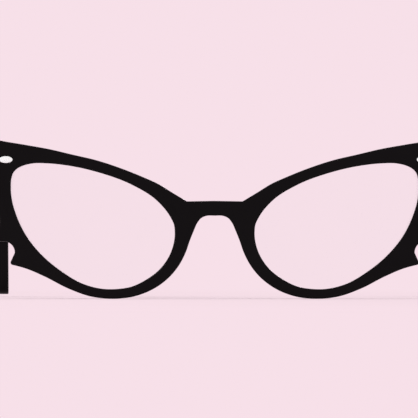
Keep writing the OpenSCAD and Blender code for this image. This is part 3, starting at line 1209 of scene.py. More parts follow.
@dataclass(frozen=True)
class FrameSizes:
    """Sizes that the front, the lenses, the arms and the hinges share, as the solids have them.

    Attributes:
        lens_w, lens_h: width and height of a lens opening.
        bridge_w: distance between the two openings.
        groove_depth: depth of the lens groove.
        lens_t: thickness of a lens.
        lens_set: how far the lens lies behind the front's surface.
        lens_gap: play of the lens in its groove.
        front_t: thickness of the front.
        wrap_r: radius of the front's wrap, seen from above.
        rim_low: height of the rim under an opening.
        rim_nose: width of the rim beside the nose.
        brow_t: height of the rim over an opening.
        arch_z: height of the arch under the bridge.
        bridge_h: height of the bridge over its arch.
        wing_out, wing_up: reach of a wing tip past the opening, outward and upward.
        hinge_out: distance from the opening out to the hinge pin.
        hinge_up: distance from the opening up to the middle of the hinge.
        leaf_h, leaf_t: height and thickness of a hinge plate.
        leaf_in, leaf_out: reach of the front's hinge plate from the pin, inward and outward.
        fit: gap round a piece that is pressed in or riveted.
        polish: how much fuller the visible outlines are than the solids.
        front_y, end_y: depth of the front's foremost and hindmost points.
    """

    lens_w: float = 51.1
    lens_h: float = 39.15
    bridge_w: float = 24.6
    groove_depth: float = 0.9
    lens_t: float = 2.0
    lens_set: float = 1.0
    lens_gap: float = 0.05
    front_t: float = 4.0
    wrap_r: float = 350.0
    rim_low: float = 2.95
    rim_nose: float = 4.2
    brow_t: float = 3.5
    arch_z: float = 25.8
    bridge_h: float = 4.45
    wing_out: float = 10.0
    wing_up: float = 8.3
    hinge_out: float = 0.5
    hinge_up: float = 1.05
    leaf_h: float = 7.0
    leaf_t: float = 1.0
    leaf_in: float = 1.2
    leaf_out: float = 3.5
    fit: float = 0.03
    polish: float = 0.08
    front_y: float = field(default_factory=lambda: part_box("front")[0].y / MM)
    end_y: float = field(default_factory=lambda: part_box("front")[1].y / MM)

    @property
    def lens_x(self) -> float:
        """Inner edge of the left lens opening."""
        return self.bridge_w / 2

    @property
    def hinge_x(self) -> float:
        """Distance of the hinge pin from the mirror plane."""
        return self.lens_x + self.lens_w + self.hinge_out

    @property
    def hinge_z(self) -> float:
        """Height of the middle of the hinge."""
        return self.rim_low + self.lens_h + self.hinge_up

    def on(self, u: float, v: float, move: Sequence[float] = (0.0, 0.0)) -> np.ndarray:
        """A point by its shares of the box round the left lens opening, moved by millimetres."""
        return np.array([self.lens_x + u * self.lens_w + move[0], self.rim_low + v * self.lens_h + move[1]])

    def surface(self, points: np.ndarray) -> np.ndarray:
        """Depth of the wrapped front surface over points of the front view."""
        return self.front_y + self.wrap_r - np.sqrt(self.wrap_r**2 - points[:, 0] ** 2)

    def surface_at(self, x: float, z: float = 0.0) -> float:
        """Depth of the wrapped front surface at one point of the front view."""
        return float(self.surface(np.array([[x, z]]))[0])


def upright(points: np.ndarray, depth: np.ndarray) -> np.ndarray:
    """Puts points of the front view, and their depths, into space."""
    return np.column_stack([points[:, 0], depth, points[:, 1]])


@dataclass
class Front:
    """The acetate front: both rims, the bridge, the fins and the wings.

    Attributes:
        sizes: the shared sizes.
        plaque: the stud that is set into it.
        hinge: the hinge whose plate is let into it.
        fin_r, notch_r, flick_r, wing_r: radii of the fin's tip, the notch over it, the tip over the notch
            and the wing tip.
        fuller: how much fuller the waist under the wing is than the solid's.
        block_in: reach of the end block's back inward of the hinge pin.
        block_low: reach of the end block's back below the hinge plate.
        ramp: width of the slope up to the end block.
        slope_steps: how many steps the slope's guide lines make.
        past_up, past_out: how far these lines run on past the wing tip.
        front_edge, back_edge: radii of the outer edges.
        lens_edge, lens_back_edge: radii of the edges round the openings.
        seat_edge: width of the broken edge round a hinge plate's seat.
        spacing: longest step along the outlines.
        notch_steps, wing_steps, bridge_steps: steps round the notch and the wing tip, and along half the
            top of the bridge.
        grid: distance between the points within the faces.
    """

    sizes: FrameSizes
    plaque: "Plaque"
    hinge: "Hinge"
    fin_r: float = 0.7
    notch_r: float = 3.45
    flick_r: float = 0.9
    wing_r: float = 0.9
    fuller: float = 0.25
    block_in: float = 2.5
    block_low: float = 2.2
    ramp: float = 1.8
    slope_steps: int = 8
    past_up: float = 6.0
    past_out: float = 4.0
    front_edge: float = 0.45
    back_edge: float = 0.35
    lens_edge: float = 0.3
    lens_back_edge: float = 0.22
    seat_edge: float = 0.04
    spacing: float = 0.36
    notch_steps: int = 14
    wing_steps: int = 12
    bridge_steps: int = 18
    grid: float = 1.4

    def opening(self) -> Outline:
        """Draws the left lens opening through points on the box round it.

        Returns:
            The outline, counter-clockwise from its lowest point.
        """
        shares = [(0.34, 0), (0.44, 0), (0.56, 0.04), (0.69, 0.138), (0.803, 0.258), (0.903, 0.416),
                  (0.965, 0.58), (0.995, 0.72), (1, 0.81), (0.996, 0.88), (0.984, 0.925), (0.96, 0.957),
                  (0.92, 0.982), (0.87, 0.997), (0.77, 0.998), (0.66, 0.983), (0.46, 0.925), (0.259, 0.827),
                  (0.112, 0.706), (0.027, 0.572), (0.006, 0.515), (0, 0.45), (0.024, 0.29), (0.086, 0.164),
                  (0.181, 0.068), (0.265, 0.017)]
        return closed_curve([self.sizes.on(u, v) for u, v in shares], self.spacing)

    def half_outline(self) -> Outline:
        """Draws the left half of the outline, by points on the box round the opening and by real sizes.

        Returns:
            The points from under the bridge round the rim, the fins and the wing to the brow.
        """
        s, on = self.sizes, self.sizes.on
        nose, low, out, up, brow = s.rim_nose, s.rim_low, s.wing_out, s.wing_up, s.brow_t
        fin = on(1, 0.21, [-0.75, 0])
        notch = fin + [2.85, 3.15]
        flick = notch + [0.95, self.notch_r + self.flick_r]
        wing = on(1, 1, [out - self.wing_r, up - self.wing_r])
        bridge_end = np.array([s.bridge_w * 0.352, s.arch_z + s.bridge_h - 0.15])
        rim = smooth([
            [-s.bridge_w * 0.11, s.arch_z - 0.1], [0, s.arch_z], [s.bridge_w * 0.11, s.arch_z - 0.1],
            [s.bridge_w * 0.17, s.arch_z - 0.75], [s.bridge_w * 0.222, s.arch_z - 2.3],
            on(0, 0.466, [-1.38 * nose, 0]), on(0, 0.4, [-1.08 * nose, -0.13 * nose]),
            on(0.016, 0.32, [-0.96 * nose, -0.28 * nose]), on(0.045, 0.236, [-0.86 * nose, -0.38 * nose]),
            on(0.09, 0.16, [-0.71 * nose, -0.55 * nose]), on(0.17, 0.08, [-2.1, -low]),
            on(0.269, 0.019, [-1.1, -low]), on(0.37, 0, [0, -low]), on(0.496, 0.018, [0.8, -low]),
            on(0.614, 0.08, [1.7, -low]), on(0.739, 0.187, [2.8, -low - 0.4]),
            on(0.823, 0.287, [4.2, -low - 1.9]), fin - [0, self.fin_r],
        ], self.spacing, 1)
        edge = smooth([
            on_circle(flick, self.flick_r, 15),
            on(1, 0.53, [0.31 * out + self.fuller, 0]), on(1, 0.66, [0.36 * out + self.fuller, 0]),
            on(1, 0.8, [0.49 * out, 0]), on(1, 0.92, [0.62 * out, 0]), on(1, 1, [0.79 * out, 0.33 * up]),
            on_circle(wing, self.wing_r, -20),
        ], self.spacing)
        top = smooth([
            on_circle(wing, self.wing_r, 105), on(1, 1, [0.31 * out, 0.83 * up]),
            on(0.915, 0.985, [0, brow + 2.7]), on(0.769, 0.998, [0, brow + 0.85]),
            on(0.624, 0.974, [0, brow + 0.05]), on(0.477, 0.93, [0, brow]), on(0.331, 0.865, [0, brow + 0.1]),
            on(0.186, 0.774, [0, brow + 0.7]), on(0.112, 0.704, [0, brow + 1.75]),
            on(0.112, 0.704, [-4.7, brow - 1.1]), bridge_end,
        ], self.spacing)
        bridge_top = np.array([0, s.arch_z + s.bridge_h])
        bridge = bridge_end + (bridge_top - bridge_end) * np.linspace(0, 1, self.bridge_steps + 1)[:, None]
        return np.concatenate([
            rim, arc(fin, self.fin_r, -80, 21), arc(notch, self.notch_r, 183, 95, self.notch_steps),
            arc(flick, self.flick_r, -85, 0), edge, arc(wing, self.wing_r, -20, 95, self.wing_steps),
            top, bridge,
        ])

    def outline(self) -> Outline:
        """The whole outline, counter-clockwise."""
        half = self.half_outline()
        return np.concatenate([half, half[-2:0:-1] * [-1, 1]])

    def block_corner(self) -> tuple[float, float]:
        """Inner lower corner of the flat back of the left end block, at the top of the slope up to it."""
        s, half_ramp = self.sizes, self.ramp / 2
        return s.hinge_x - self.block_in + half_ramp, s.hinge_z - s.leaf_h / 2 - self.block_low + half_ramp

    def back(self, points: np.ndarray) -> np.ndarray:
        """Height of the back: it follows the wrap behind the rims, and rises smoothly to the end blocks.

        Args:
            points: points of the front view.

        Returns:
            The depth of the back at each of them.
        """
        s, (x, z) = self.sizes, self.block_corner()
        away = np.hypot(np.maximum(0, x - np.abs(points[:, 0])), np.maximum(0, z - points[:, 1]))
        share = 1 - ease(away / self.ramp)
        return (s.surface(points) + s.front_t) * (1 - share) + s.end_y * share

    def slope_lines(self) -> list[Outline]:
        """Draws lines along the slopes beside both end blocks.

        Returns:
            Open lines of points, from the top of the slopes to their foot.
        """
        x, z = self.block_corner()
        corner = np.array([x, z])
        down = np.arange(z + self.sizes.wing_up + self.past_up, z, -self.spacing)
        over = np.arange(x + self.spacing, x + self.sizes.wing_out + self.past_out, self.spacing)
        lines = []
        for away in np.linspace(0, self.ramp, self.slope_steps + 1):
            bend = arc(corner, away, 180, 270, self.slope_steps) if away else corner[None]
            lines.append(np.concatenate([
                np.column_stack([np.full(len(down), x - away), down]), bend,
                np.column_stack([over, np.full(len(over), z - away)]),
            ]))
        return lines + [line * [-1, 1] for line in lines]

    def shape(self) -> bpy.types.Object:
        """Mills the front with its grooves, the seats of the studs and the seats of the hinge plates.

        Returns:
            The front.
        """
        s = self.sizes
        left = [offset(self.opening(), -s.polish), self.plaque.seat(), self.hinge.front_seat()]
        right = [loop[::-1] * [-1, 1] for loop in left]
        walls = [Wall(offset(self.outline(), s.polish), False, self.front_edge, self.back_edge)]
        groove = (s.groove_depth + s.polish, s.lens_set - s.lens_gap, s.lens_set + s.lens_t + s.lens_gap)
        stud_seats, plate_seats = [], []
        for rim, oval_seat, plate_seat in (left, right):
            walls.append(Wall(rim, True, self.lens_edge, self.lens_back_edge, groove))
            stud_seats.append(Seat(oval_seat, lambda p: s.surface(p) + self.plaque.sunk))
            plate_seats.append(
                Seat(plate_seat, lambda p: np.full(len(p), s.end_y - s.leaf_t - s.fit), self.seat_edge))
        plate = PlateMesh(s.surface, self.back, upright)
        return plate.build("front_milled", walls, stud_seats, plate_seats, self.grid, self.slope_lines())

    def build(self, shop: Workshop) -> list[bpy.types.Object]:
        """Builds and dresses the front."""
        return [shop.finish(self.shape(), shop.acetate, "front_acetate", FRONT_BODY, "front")]


@dataclass
class Lens:
    """A clear lens that follows the wrap of the front, with its edge in the groove.

    Attributes:
        sizes: the shared sizes.
        front: the front that it sits in.
        edge: radius of its edges.
    """

    sizes: FrameSizes
    front: Front
    edge: float = 0.14

    def shape(self) -> bpy.types.Object:
        """Cuts the left lens to the outline of its opening and the depth of the groove.

        Returns:
            The left lens.
        """
        s = self.sizes
        plate = PlateMesh(lambda p: s.surface(p) + s.lens_set,
                          lambda p: s.surface(p) + s.lens_set + s.lens_t, upright)
        rim = offset(self.front.opening(), s.groove_depth - s.lens_gap)
        return plate.build("left_clear_lens", [Wall(rim, False, self.edge, self.edge)])

    def build(self, shop: Workshop) -> list[bpy.types.Object]:
        """Builds and dresses both lenses."""
        return shop.finish_pair(self.shape(), shop.resin, "clear_lens", "lens")


@dataclass
class Plaque:
    """A white oval stud and the two rivet pins behind it.

    Attributes:
        sizes: the shared sizes.
        width, height, thick: size of the stud.
        proud: how far it stands out of the front.
        out: distance from the hinge pin outward to its middle.
        pitch: distance between the pins.
        pin_r: radius of a pin.
        pin_dome: height of the dome that ends a pin.
        pin_neck: length of pin below the foot of its dome.
        dome_steps: steps round that dome.
        dome: how far the rim of the stud's face falls back.
        edge, back_edge: radii of its edges.
        grid: distance between the points within its faces.
    """

    sizes: FrameSizes
    width: float = 4.3
    height: float = 2.1
    thick: float = 0.8
    proud: float = 0.3
    out: float = 1.0
    pitch: float = 2.6
    pin_r: float = 0.45
    pin_dome: float = 0.04
    pin_neck: float = 0.05
    dome_steps: int = 6
    dome: float = 0.1
    edge: float = 0.14
    back_edge: float = 0.05
    grid: float = 0.2

    @property
    def sunk(self) -> float:
        """Depth of the seat below the front surface."""
        return self.thick - self.proud + self.sizes.fit

    @property
    def x(self) -> float:
        """Distance of the stud from the mirror plane."""
        return self.sizes.hinge_x + self.out

    @property
    def turned(self) -> float:
        """Angle by which the stud turns with the wrap, in radians."""
        return math.asin(self.x / self.sizes.wrap_r)

    def seat(self) -> Outline:
        """Outline of the seat in the front view."""
        loop = oval(self.width + 2 * self.sizes.fit, self.height + 2 * self.sizes.fit)
        return loop * [math.cos(self.turned), 1] + [self.x, self.sizes.hinge_z]

    def stud(self) -> bpy.types.Object:
        """Makes the left oval, turned with the wrap.

        Returns:
            The left oval.
        """
        across, back = math.cos(self.turned), math.sin(self.turned)
        depth = self.sizes.surface_at(self.x)

        def place(points: np.ndarray, height: np.ndarray) -> np.ndarray:
            """Puts points of the stud's own plane on the front.

            Args:
                points: where they are in that plane.
                height: how far they lie behind it.

            Returns:
                The points in space.
            """
            x = self.x + points[:, 0] * across - height * back
            y = depth + points[:, 0] * back + height * across
            return np.column_stack([x, y, self.sizes.hinge_z + points[:, 1]])

        def face(points: np.ndarray) -> np.ndarray:
            """A slightly domed face."""
            square = (2 * points[:, 0] / self.width) ** 2 + (2 * points[:, 1] / self.height) ** 2
            return -self.proud + self.dome * square

        plate = PlateMesh(face, lambda p: np.full(len(p), self.thick - self.proud), place)
        wall = Wall(oval(self.width, self.height), False, self.edge, self.back_edge)
        return plate.build("left_oval", [wall], spacing=self.grid)

    def pins(self, shop: Workshop) -> bpy.types.Object:
        """Turns the left pins, which end in low domes on the hinge plate.

        Args:
            shop: the workshop.

        Returns:
            The left pins.
        """
        start = self.sizes.surface_at(self.x) + self.thick - self.proud
        long = self.sizes.end_y - start
        domed = [(self.pin_r * math.cos(a), long + self.pin_dome * math.sin(a))
                 for a in np.linspace(0, math.pi / 2, self.dome_steps + 1)]
        profile = [(0, 0), (self.pin_r, 0), (self.pin_r, long - self.pin_neck), *domed]
        row = Row([self.x - self.pitch / 2, start, self.sizes.hinge_z], [self.pitch, 0, 0],
                  [-math.pi / 2, 0, 0])
        return shop.lathe.turn("left_stud_pins", profile, row, shop.rivet)

    def build(self, shop: Workshop) -> list[bpy.types.Object]:
        """Builds and dresses both studs and their pins."""
        return [*shop.finish_pair(self.stud(), shop.enamel, "white_enamel", "plaque"),
                *shop.finish_pair(self.pins(shop), shop.rivet, "rivet_metal", "plaque")]


@dataclass
class Hinge:
    """A riveted hinge: a plate in the front, a plate in the arm, and three knuckles on a screw.

    Attributes:
        sizes: the shared sizes.
        corner: radius of the corners of the plate's seat.
        bevel: width of the broken edges.
        bevel_steps: steps across each of them.
        bevel_from: angle, in degrees, from which an edge is broken.
        flat: angle, in degrees, up to which faces are joined into one.
        sharp: angle, in degrees, from which an edge is shaded sharp.
        merge: distance, in metres, within which points of the solid are one.
    """

    sizes: FrameSizes
    corner: float = 0.4
    bevel: float = 0.07
    bevel_steps: int = 2
    bevel_from: float = 50.0
    flat: float = 1.0
    sharp: float = 35.0
    merge: float = 1e-6

    def front_seat(self) -> Outline:
        """Draws the seat of the plate in the back of the front.

        Returns:
            Its outline in the front view.
        """
        s = self.sizes
        half = s.leaf_h / 2 + s.fit
        return rounded_box([s.hinge_x - s.leaf_in - s.fit, s.hinge_z - half],
                           [s.hinge_x + s.leaf_out + s.fit, s.hinge_z + half], self.corner)

    def metal(self, node: str) -> bpy.types.Object:
        """Copies a metal node, merges its triangles and breaks its edges.

        Args:
            node: the node's name.

        Returns:
            The copy.
        """
        work = bmesh.new()
        work.from_mesh(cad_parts[node].data)
        bmesh.ops.remove_doubles(work, verts=work.verts, dist=self.merge)
        flat = math.radians(self.flat)
        bmesh.ops.dissolve_limit(work, angle_limit=flat, verts=work.verts, edges=work.edges)
        face_out(work)
        piece = from_work(f"{node}_metal", work)
        bevel = piece.modifiers.new("broken edges", "BEVEL")
        bevel.width, bevel.segments, bevel.use_clamp_overlap = self.bevel * MM, self.bevel_steps, True
        bevel.limit_method, bevel.angle_limit = "ANGLE", math.radians(self.bevel_from)
        applied(piece)
        shade(piece, self.sharp)
        return piece

    def build(self, shop: Workshop) -> list[bpy.types.Object]:
        """Builds and dresses the plates and the screws of both hinges.

        Args:
            shop: the workshop.

        Returns:
            The pieces of both hinges.
        """
        made = []
        for side in Side:
            for kind, material, slot, body in (
                ("front_hinge", shop.nickel, "hinge_metal", FRONT_BODY),
                ("temple_hinge", shop.nickel, "hinge_metal", side.body),
                ("hinge_screw", shop.steel, "screw_steel", FRONT_BODY),
            ):
                node = side.named(kind)
                made.append(shop.finish(self.metal(node), material, slot, body, node))
        return made


@dataclass
class Temple:
    """A side arm: a flat tapered bar that bends down behind the ear.

    Attributes:
        sizes: the shared sizes.
        inner_x: distance of its inner face from the mirror plane.
        thick: its thickness.
        height, waist, tip: its height at the hinge, at the ear bend and at the ear end.
        straight: length from the hinge pin to the ear bend.
        bend_r, bend_angle: radius and angle of the ear bend.
        tip_lift: height of the ear end's lowest point.
        butt_gap: gap between the arm and the end block.
        pin_back: distance from the end block back to the hinge pin.
        leaf_len: length of the arm's hinge plate behind the pin.
        slimming: how much slimmer the outer face is in the middle of the arm.
        slim_from, slim_run: where the slimming starts behind the pin, and the length over which it sets in.
        ear_slim: share of the slimming that goes again towards the ear end.
        ear_from, ear_run: where that starts, and the length over which it goes.
        ear_fuller: how much fuller the inner face is at the ear end.
        fuller_from, fuller_run: where that starts, and the length over which it sets in.
        outer_edge, inner_edge: radii of its edges.
        overcut: how far before the inner face the cut of the plate's seat starts.
        step: longest step along its outline.
        tip_steps, butt_steps: steps round the ear end and across the hinge end.
        grid: distance between the points within its faces.
    """

    sizes: FrameSizes
    inner_x: float = 65.6
    thick: float = 3.4
    height: float = 10.0
    waist: float = 5.5
    tip: float = 8.0
    straight: float = 86.0
    bend_r: float = 22.0
    bend_angle: float = 58.0
    tip_lift: float = 0.8
    butt_gap: float = 0.15
    pin_back: float = 1.7
    leaf_len: float = 9.4
    slimming: float = 0.5
    slim_from: float = 12.0
    slim_run: float = 30.0
    ear_slim: float = 0.6
    ear_from: float = 80.0
    ear_run: float = 40.0
    ear_fuller: float = 0.1
    fuller_from: float = 70.0
    fuller_run: float = 30.0
    outer_edge: float = 0.6
    inner_edge: float = 0.35
    overcut: float = 1.0
    step: float = 0.6
    tip_steps: int = 30
    butt_steps: int = 13
    grid: float = 2.0

    @property
    def pin_y(self) -> float:
        """Depth of the hinge pin."""
        return self.sizes.end_y + self.pin_back

    @property
    def drop(self) -> float:
        """Finds how long the straight ear end is, from how far it has to come down.

        Returns:
            Its length.
        """
        turn = math.radians(self.bend_angle)
        fallen = self.bend_r * (1 - math.cos(turn))
        return (self.sizes.hinge_z - self.tip_lift - self.tip / 2 - fallen) / math.sin(turn)

    @property
    def bend(self) -> float:
        """Length of the ear bend."""
        return self.bend_r * math.radians(self.bend_angle)

    def middle(self, along: np.ndarray) -> tuple[np.ndarray, np.ndarray]:
        """Follows the middle line of the arm.

        Args:
            along: distances behind the pin.

        Returns:
            The points in depth and height, and the directions square to the line.
        """
        past = np.maximum(0, along - self.straight - self.bend)
        a = np.radians(np.clip((along - self.straight) / self.bend, 0, 1) * self.bend_angle)
        y = self.pin_y + np.minimum(along, self.straight) + self.bend_r * np.sin(a) + past * np.cos(a)
        z = self.sizes.hinge_z - self.bend_r * (1 - np.cos(a)) - past * np.sin(a)
        return np.column_stack([y, z]), np.column_stack([np.sin(a), np.cos(a)])

    def half(self, along: np.ndarray) -> np.ndarray:
        """Measures half the arm's height along its middle line.

        Args:
            along: distances behind the pin.

        Returns:
            Half the height at each of them.
        """
        before = self.height / 2 + (self.waist - self.height) / 2 * ease(along / self.straight)
        spread = ease((along - self.straight) / (self.bend + self.drop))
        behind = self.waist / 2 + (self.tip - self.waist) / 2 * spread
        return np.where(along < self.straight, before, behind)

    def profile(self) -> Outline:
        """Draws the arm from the side.

        Returns:
            The outline in depth and height, counter-clockwise.
        """
        total = self.straight + self.bend + self.drop
        start = self.butt_gap - self.pin_back
        along = np.linspace(start, total, math.ceil((total - start) / self.step))
        line, up = self.middle(along)
        half = self.half(along)[:, None]
        lean = -90 - self.bend_angle
        round_tip = arc(line[-1], self.tip / 2, lean, lean + 180, self.tip_steps)[1:-1]
        butt = np.linspace(line[0] + half[0] * up[0], line[0] - half[0] * up[0], self.butt_steps + 1)[1:-1]
        return np.concatenate([line - half * up, round_tip, (line + half * up)[::-1], butt])

    def outer(self, points: np.ndarray) -> np.ndarray:
        """Places the outer face, a trace slimmer in the middle of the arm.

        Args:
            points: points of the side view.

        Returns:
            Its distance from the mirror plane at each of them.
        """
        back = points[:, 0] - self.pin_y
        regained = self.ear_slim * ease((back - self.ear_from) / self.ear_run)
        slim = self.slimming * ease((back - self.slim_from) / self.slim_run) * (1 - regained)
        return self.inner_x + self.thick - slim

    def inner(self, points: np.ndarray) -> np.ndarray:
        """Distance of the inner face from the mirror plane, a trace less at the ear end."""
        back = points[:, 0] - self.pin_y
        return self.inner_x - self.ear_fuller * ease((back - self.fuller_from) / self.fuller_run)

    def shape(self) -> bpy.types.Object:
        """Mills the left arm, with the seat of the hinge plate.

        Returns:
            The left arm.
        """
        s = self.sizes
        plate = PlateMesh(self.inner, self.outer, lambda p, w: np.column_stack([w, p[:, 0], p[:, 1]]))
        wall = Wall(offset(self.profile(), s.polish), False, self.inner_edge, self.outer_edge)
        piece = plate.build("left_arm_milled", [wall], spacing=self.grid)
        half = s.leaf_h / 2 + s.fit
        cut_box(piece, [self.inner_x - self.overcut, s.end_y, s.hinge_z - half],
                [self.inner_x + s.leaf_t + s.fit, self.pin_y + self.leaf_len + s.fit, s.hinge_z + half])
        return piece

    def build(self, shop: Workshop) -> list[bpy.types.Object]:
        """Builds and dresses both arms, and dresses the wires in them.

        Args:
            shop: the workshop.

        Returns:
            Both arms and both wires.
        """
        cores = [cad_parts[side.named("temple_core")] for side in Side]
        for core in cores:
            core.data.materials.clear()
            core.data.materials.append(shop.wire)
        return shop.finish_pair(self.shape(), shop.acetate, "temple_acetate", "temple", True) + cores


@dataclass
class Rivets:
    """The two rivets through each arm and its hinge plate, with low domed heads outside.

    Attributes:
        arm: the arm that they go through.
        shank_r: radius of a shank.
        head_r, head_h: radius and height of a head.
        rim_h: height of the rim of a head.
        start: distance from the hinge pin back to the first rivet.
        pitch: distance between the rivets.
        tail_dome: height of the dome that ends a shank.
        dome_steps: steps round that dome and round a head.
        neck: length over which the shank widens under the head.
        broken: width of the head's broken lower edge.
        sunk: how far that edge lies below and above the arm's face.
    """

    arm: Temple
    shank_r: float = 0.5
    head_r: float = 1.0
    head_h: float = 0.35
    rim_h: float = 0.07
    start: float = 3.2
    pitch: float = 4.2
    tail_dome: float = 0.03
    dome_steps: int = 8
    neck: float = 0.2
    broken: float = 0.06
    sunk: float = 0.02

    def shape(self, shop: Workshop) -> bpy.types.Object:
        """Turns the left rivets.

        Args:
            shop: the workshop.

        Returns:
            The left rivets.
        """
        arm, bends = self.arm, np.linspace(0, math.pi / 2, self.dome_steps + 1)
        tail = [(self.shank_r * math.sin(a), -self.tail_dome * math.cos(a)) for a in bends]
        top = arm.thick + self.rim_h
        head = [(self.head_r * math.cos(a), top + (self.head_h - self.rim_h) * math.sin(a)) for a in bends]
        profile = [*tail, (self.shank_r, arm.thick - self.neck),
                   (self.head_r - self.broken, arm.thick - self.sunk), (self.head_r, arm.thick + self.sunk),
                   *head]
        row = Row([arm.inner_x, arm.pin_y + self.start, arm.sizes.hinge_z], [0, self.pitch, 0],
                  [0, math.pi / 2, 0])
        return shop.lathe.turn("left_arm_rivets", profile, row, shop.rivet)

    def build(self, shop: Workshop) -> list[bpy.types.Object]:
        """Builds and dresses the rivets of both arms."""
        return shop.finish_pair(self.shape(shop), shop.rivet, "rivet_metal", "temple_rivets", True)


@dataclass
class NosePad:
    """An acetate nose pad, glued behind the rim and polished into it.

    Attributes:
        sizes: the shared sizes.
        length, depth, thick: its size along the rim, out of the rim and across.
        inset: distance from the rim's edge to the pad.
        tilt, splay: its lean in the front view and seen from above, in degrees.
        foot_share: place of its foot, as shares of the box round the opening.
        foot_move: how far its foot lies from there, as shares of the rim's width beside the nose.
        seated: how far its foot reaches into the glue.
        fillet: width of the flare at its foot.
        flare_run: height of the flare, as a share of its width.
        foot_levels: levels of the rings at its foot, as shares of its depth.
        rows: how many rings lead from there to its crest.
        round_steps: how many points each ring has.
        blunt: powers that make its ovals blunter, across and along.
        crown: powers that crown it, across and along.
    """

    sizes: FrameSizes
    length: float = 12.0
    depth: float = 6.4
    thick: float = 1.9
    inset: float = 0.7
    tilt: float = 27.0
    splay: float = 12.0
    foot_share: tuple[float, float] = (0.02, 0.305)
    foot_move: tuple[float, float] = (-0.96, -0.28)
    seated: float = 0.05
    fillet: float = 0.3
    flare_run: float = 1.3
    foot_levels: tuple[float, ...] = (0, 0.012, 0.026, 0.043)
    rows: int = 26
    round_steps: int = 56
    blunt: tuple[float, float] = (0.75, 0.9)
    crown: tuple[int, int] = (6, 2)

    def at(self, side: float, level: float, up: float) -> Vector:
        """Puts a point of the pad's own space behind the rim.

        Args:
            side: distance across from the pad's middle.
            level: height out of the rim, as a share of the pad's depth.
            up: distance along the pad from its middle.

        Returns:
            The point.
        """
        s = self.sizes
        x, z = s.on(*self.foot_share, [share * s.rim_nose for share in self.foot_move])
        base = Vector((x, s.surface_at(x, z) + s.front_t, z))
        lean = Matrix.Rotation(math.radians(-self.splay), 3, "Z")
        turn = Matrix.Rotation(math.radians(-self.tilt), 3, "Y")
        own = lean @ Vector((self.thick / 2 + side, level * self.depth, up))
        return base + turn @ (Vector((self.inset, 0, 0)) + own)

    def foot_level(self, side: float, up: float) -> float:
        """Finds where the side of the pad enters the front, just below its back.

        Args:
            side: distance across from the pad's middle.
            up: distance along the pad from its middle.

        Returns:
            The level, as a share of the pad's depth.
        """
        start = self.at(side, 0, up)
        back = self.sizes.surface_at(start.x, start.z) + self.sizes.front_t
        return (back - self.seated - start.y) / (self.depth * math.cos(math.radians(self.splay)))

    def ring(self, level: float) -> list[Vector]:
        """Draws one flattened oval of the pad.

        Args:
            level: its height, from 0 at the foot to 1 at the crest.

        Returns:
            Its points.
        """
        points: list[Vector] = []
        for a in np.arange(self.round_steps) * 2 * math.pi / self.round_steps:
            across = math.copysign(abs(math.cos(a)) ** self.blunt[0], math.cos(a))
            along = math.copysign(abs(math.sin(a)) ** self.blunt[1], math.sin(a))
            foot = self.foot_level(self.thick / 2 * across, self.length / 2 * along)
            high = foot + (1 - foot) * level
            risen = (high - foot) * self.depth / (self.flare_run * self.fillet)
            flare = self.fillet * max(0.0, 1 - risen) ** 2
            wide = self.thick / 2 * math.sqrt(1 - max(0.0, high) ** self.crown[0]) + flare
            long = self.length / 2 * math.sqrt(1 - max(0.0, high) ** self.crown[1]) + flare
            points.append(self.at(wide * across, high, long * along))
        return points

    def shape(self) -> bpy.types.Object:
        """Carves the left pad: flattened ovals that shrink towards its crest, and flare at its foot.

        Returns:
            The left pad.
        """
        n = self.round_steps
        levels = [*self.foot_levels, *np.sin(np.linspace(0, math.pi / 2, self.rows))[1:-1]]
        points = [point for level in levels for point in self.ring(level)] + [self.at(0, 1, 0)]
        faces: list[tuple[int, ...]] = [tuple(range(n))[::-1]]
        for row in range(len(levels) - 1):
            for k in range(n):
                a, b = row * n + k, row * n + (k + 1) % n
                faces.append((a, b, b + n, a + n))
        last = (len(levels) - 1) * n
        faces += [(last + k, last + (k + 1) % n, len(points) - 1) for k in range(n)]
        return make_piece("left_glued_pad", np.array([list(point) for point in points]) * MM, faces)

    def build(self, shop: Workshop) -> list[bpy.types.Object]:
        """Builds and dresses both pads."""
        return shop.finish_pair(self.shape(), shop.satin, "pad_acetate", "nose_pad")


# The studio, in metres


@dataclass(frozen=True)
class Lamp:
    """One soft rectangular lamp.

    Attributes:
        name: its name.
        place: where it hangs.
        size: its width and height.
        power: its power, in watts.
        aim: the point that it is aimed at.
    """

    name: str
    place: tuple[float, float, float]
    size: tuple[float, float]
    power: float
    aim: tuple[float, float, float] = (0, 0, 0.02)

    def hang(self) -> None:
        """Hangs the lamp."""
        data = bpy.data.lights.new(self.name, "AREA")
        data.shape = "RECTANGLE"
        data.size, data.size_y = self.size
        data.energy = self.power
        lamp = placed(data)
        lamp.location = self.place
        lamp.rotation_mode = "QUATERNION"
        lamp.rotation_quaternion = (Vector(self.aim) - Vector(self.place)).to_track_quat("-Z", "Y")


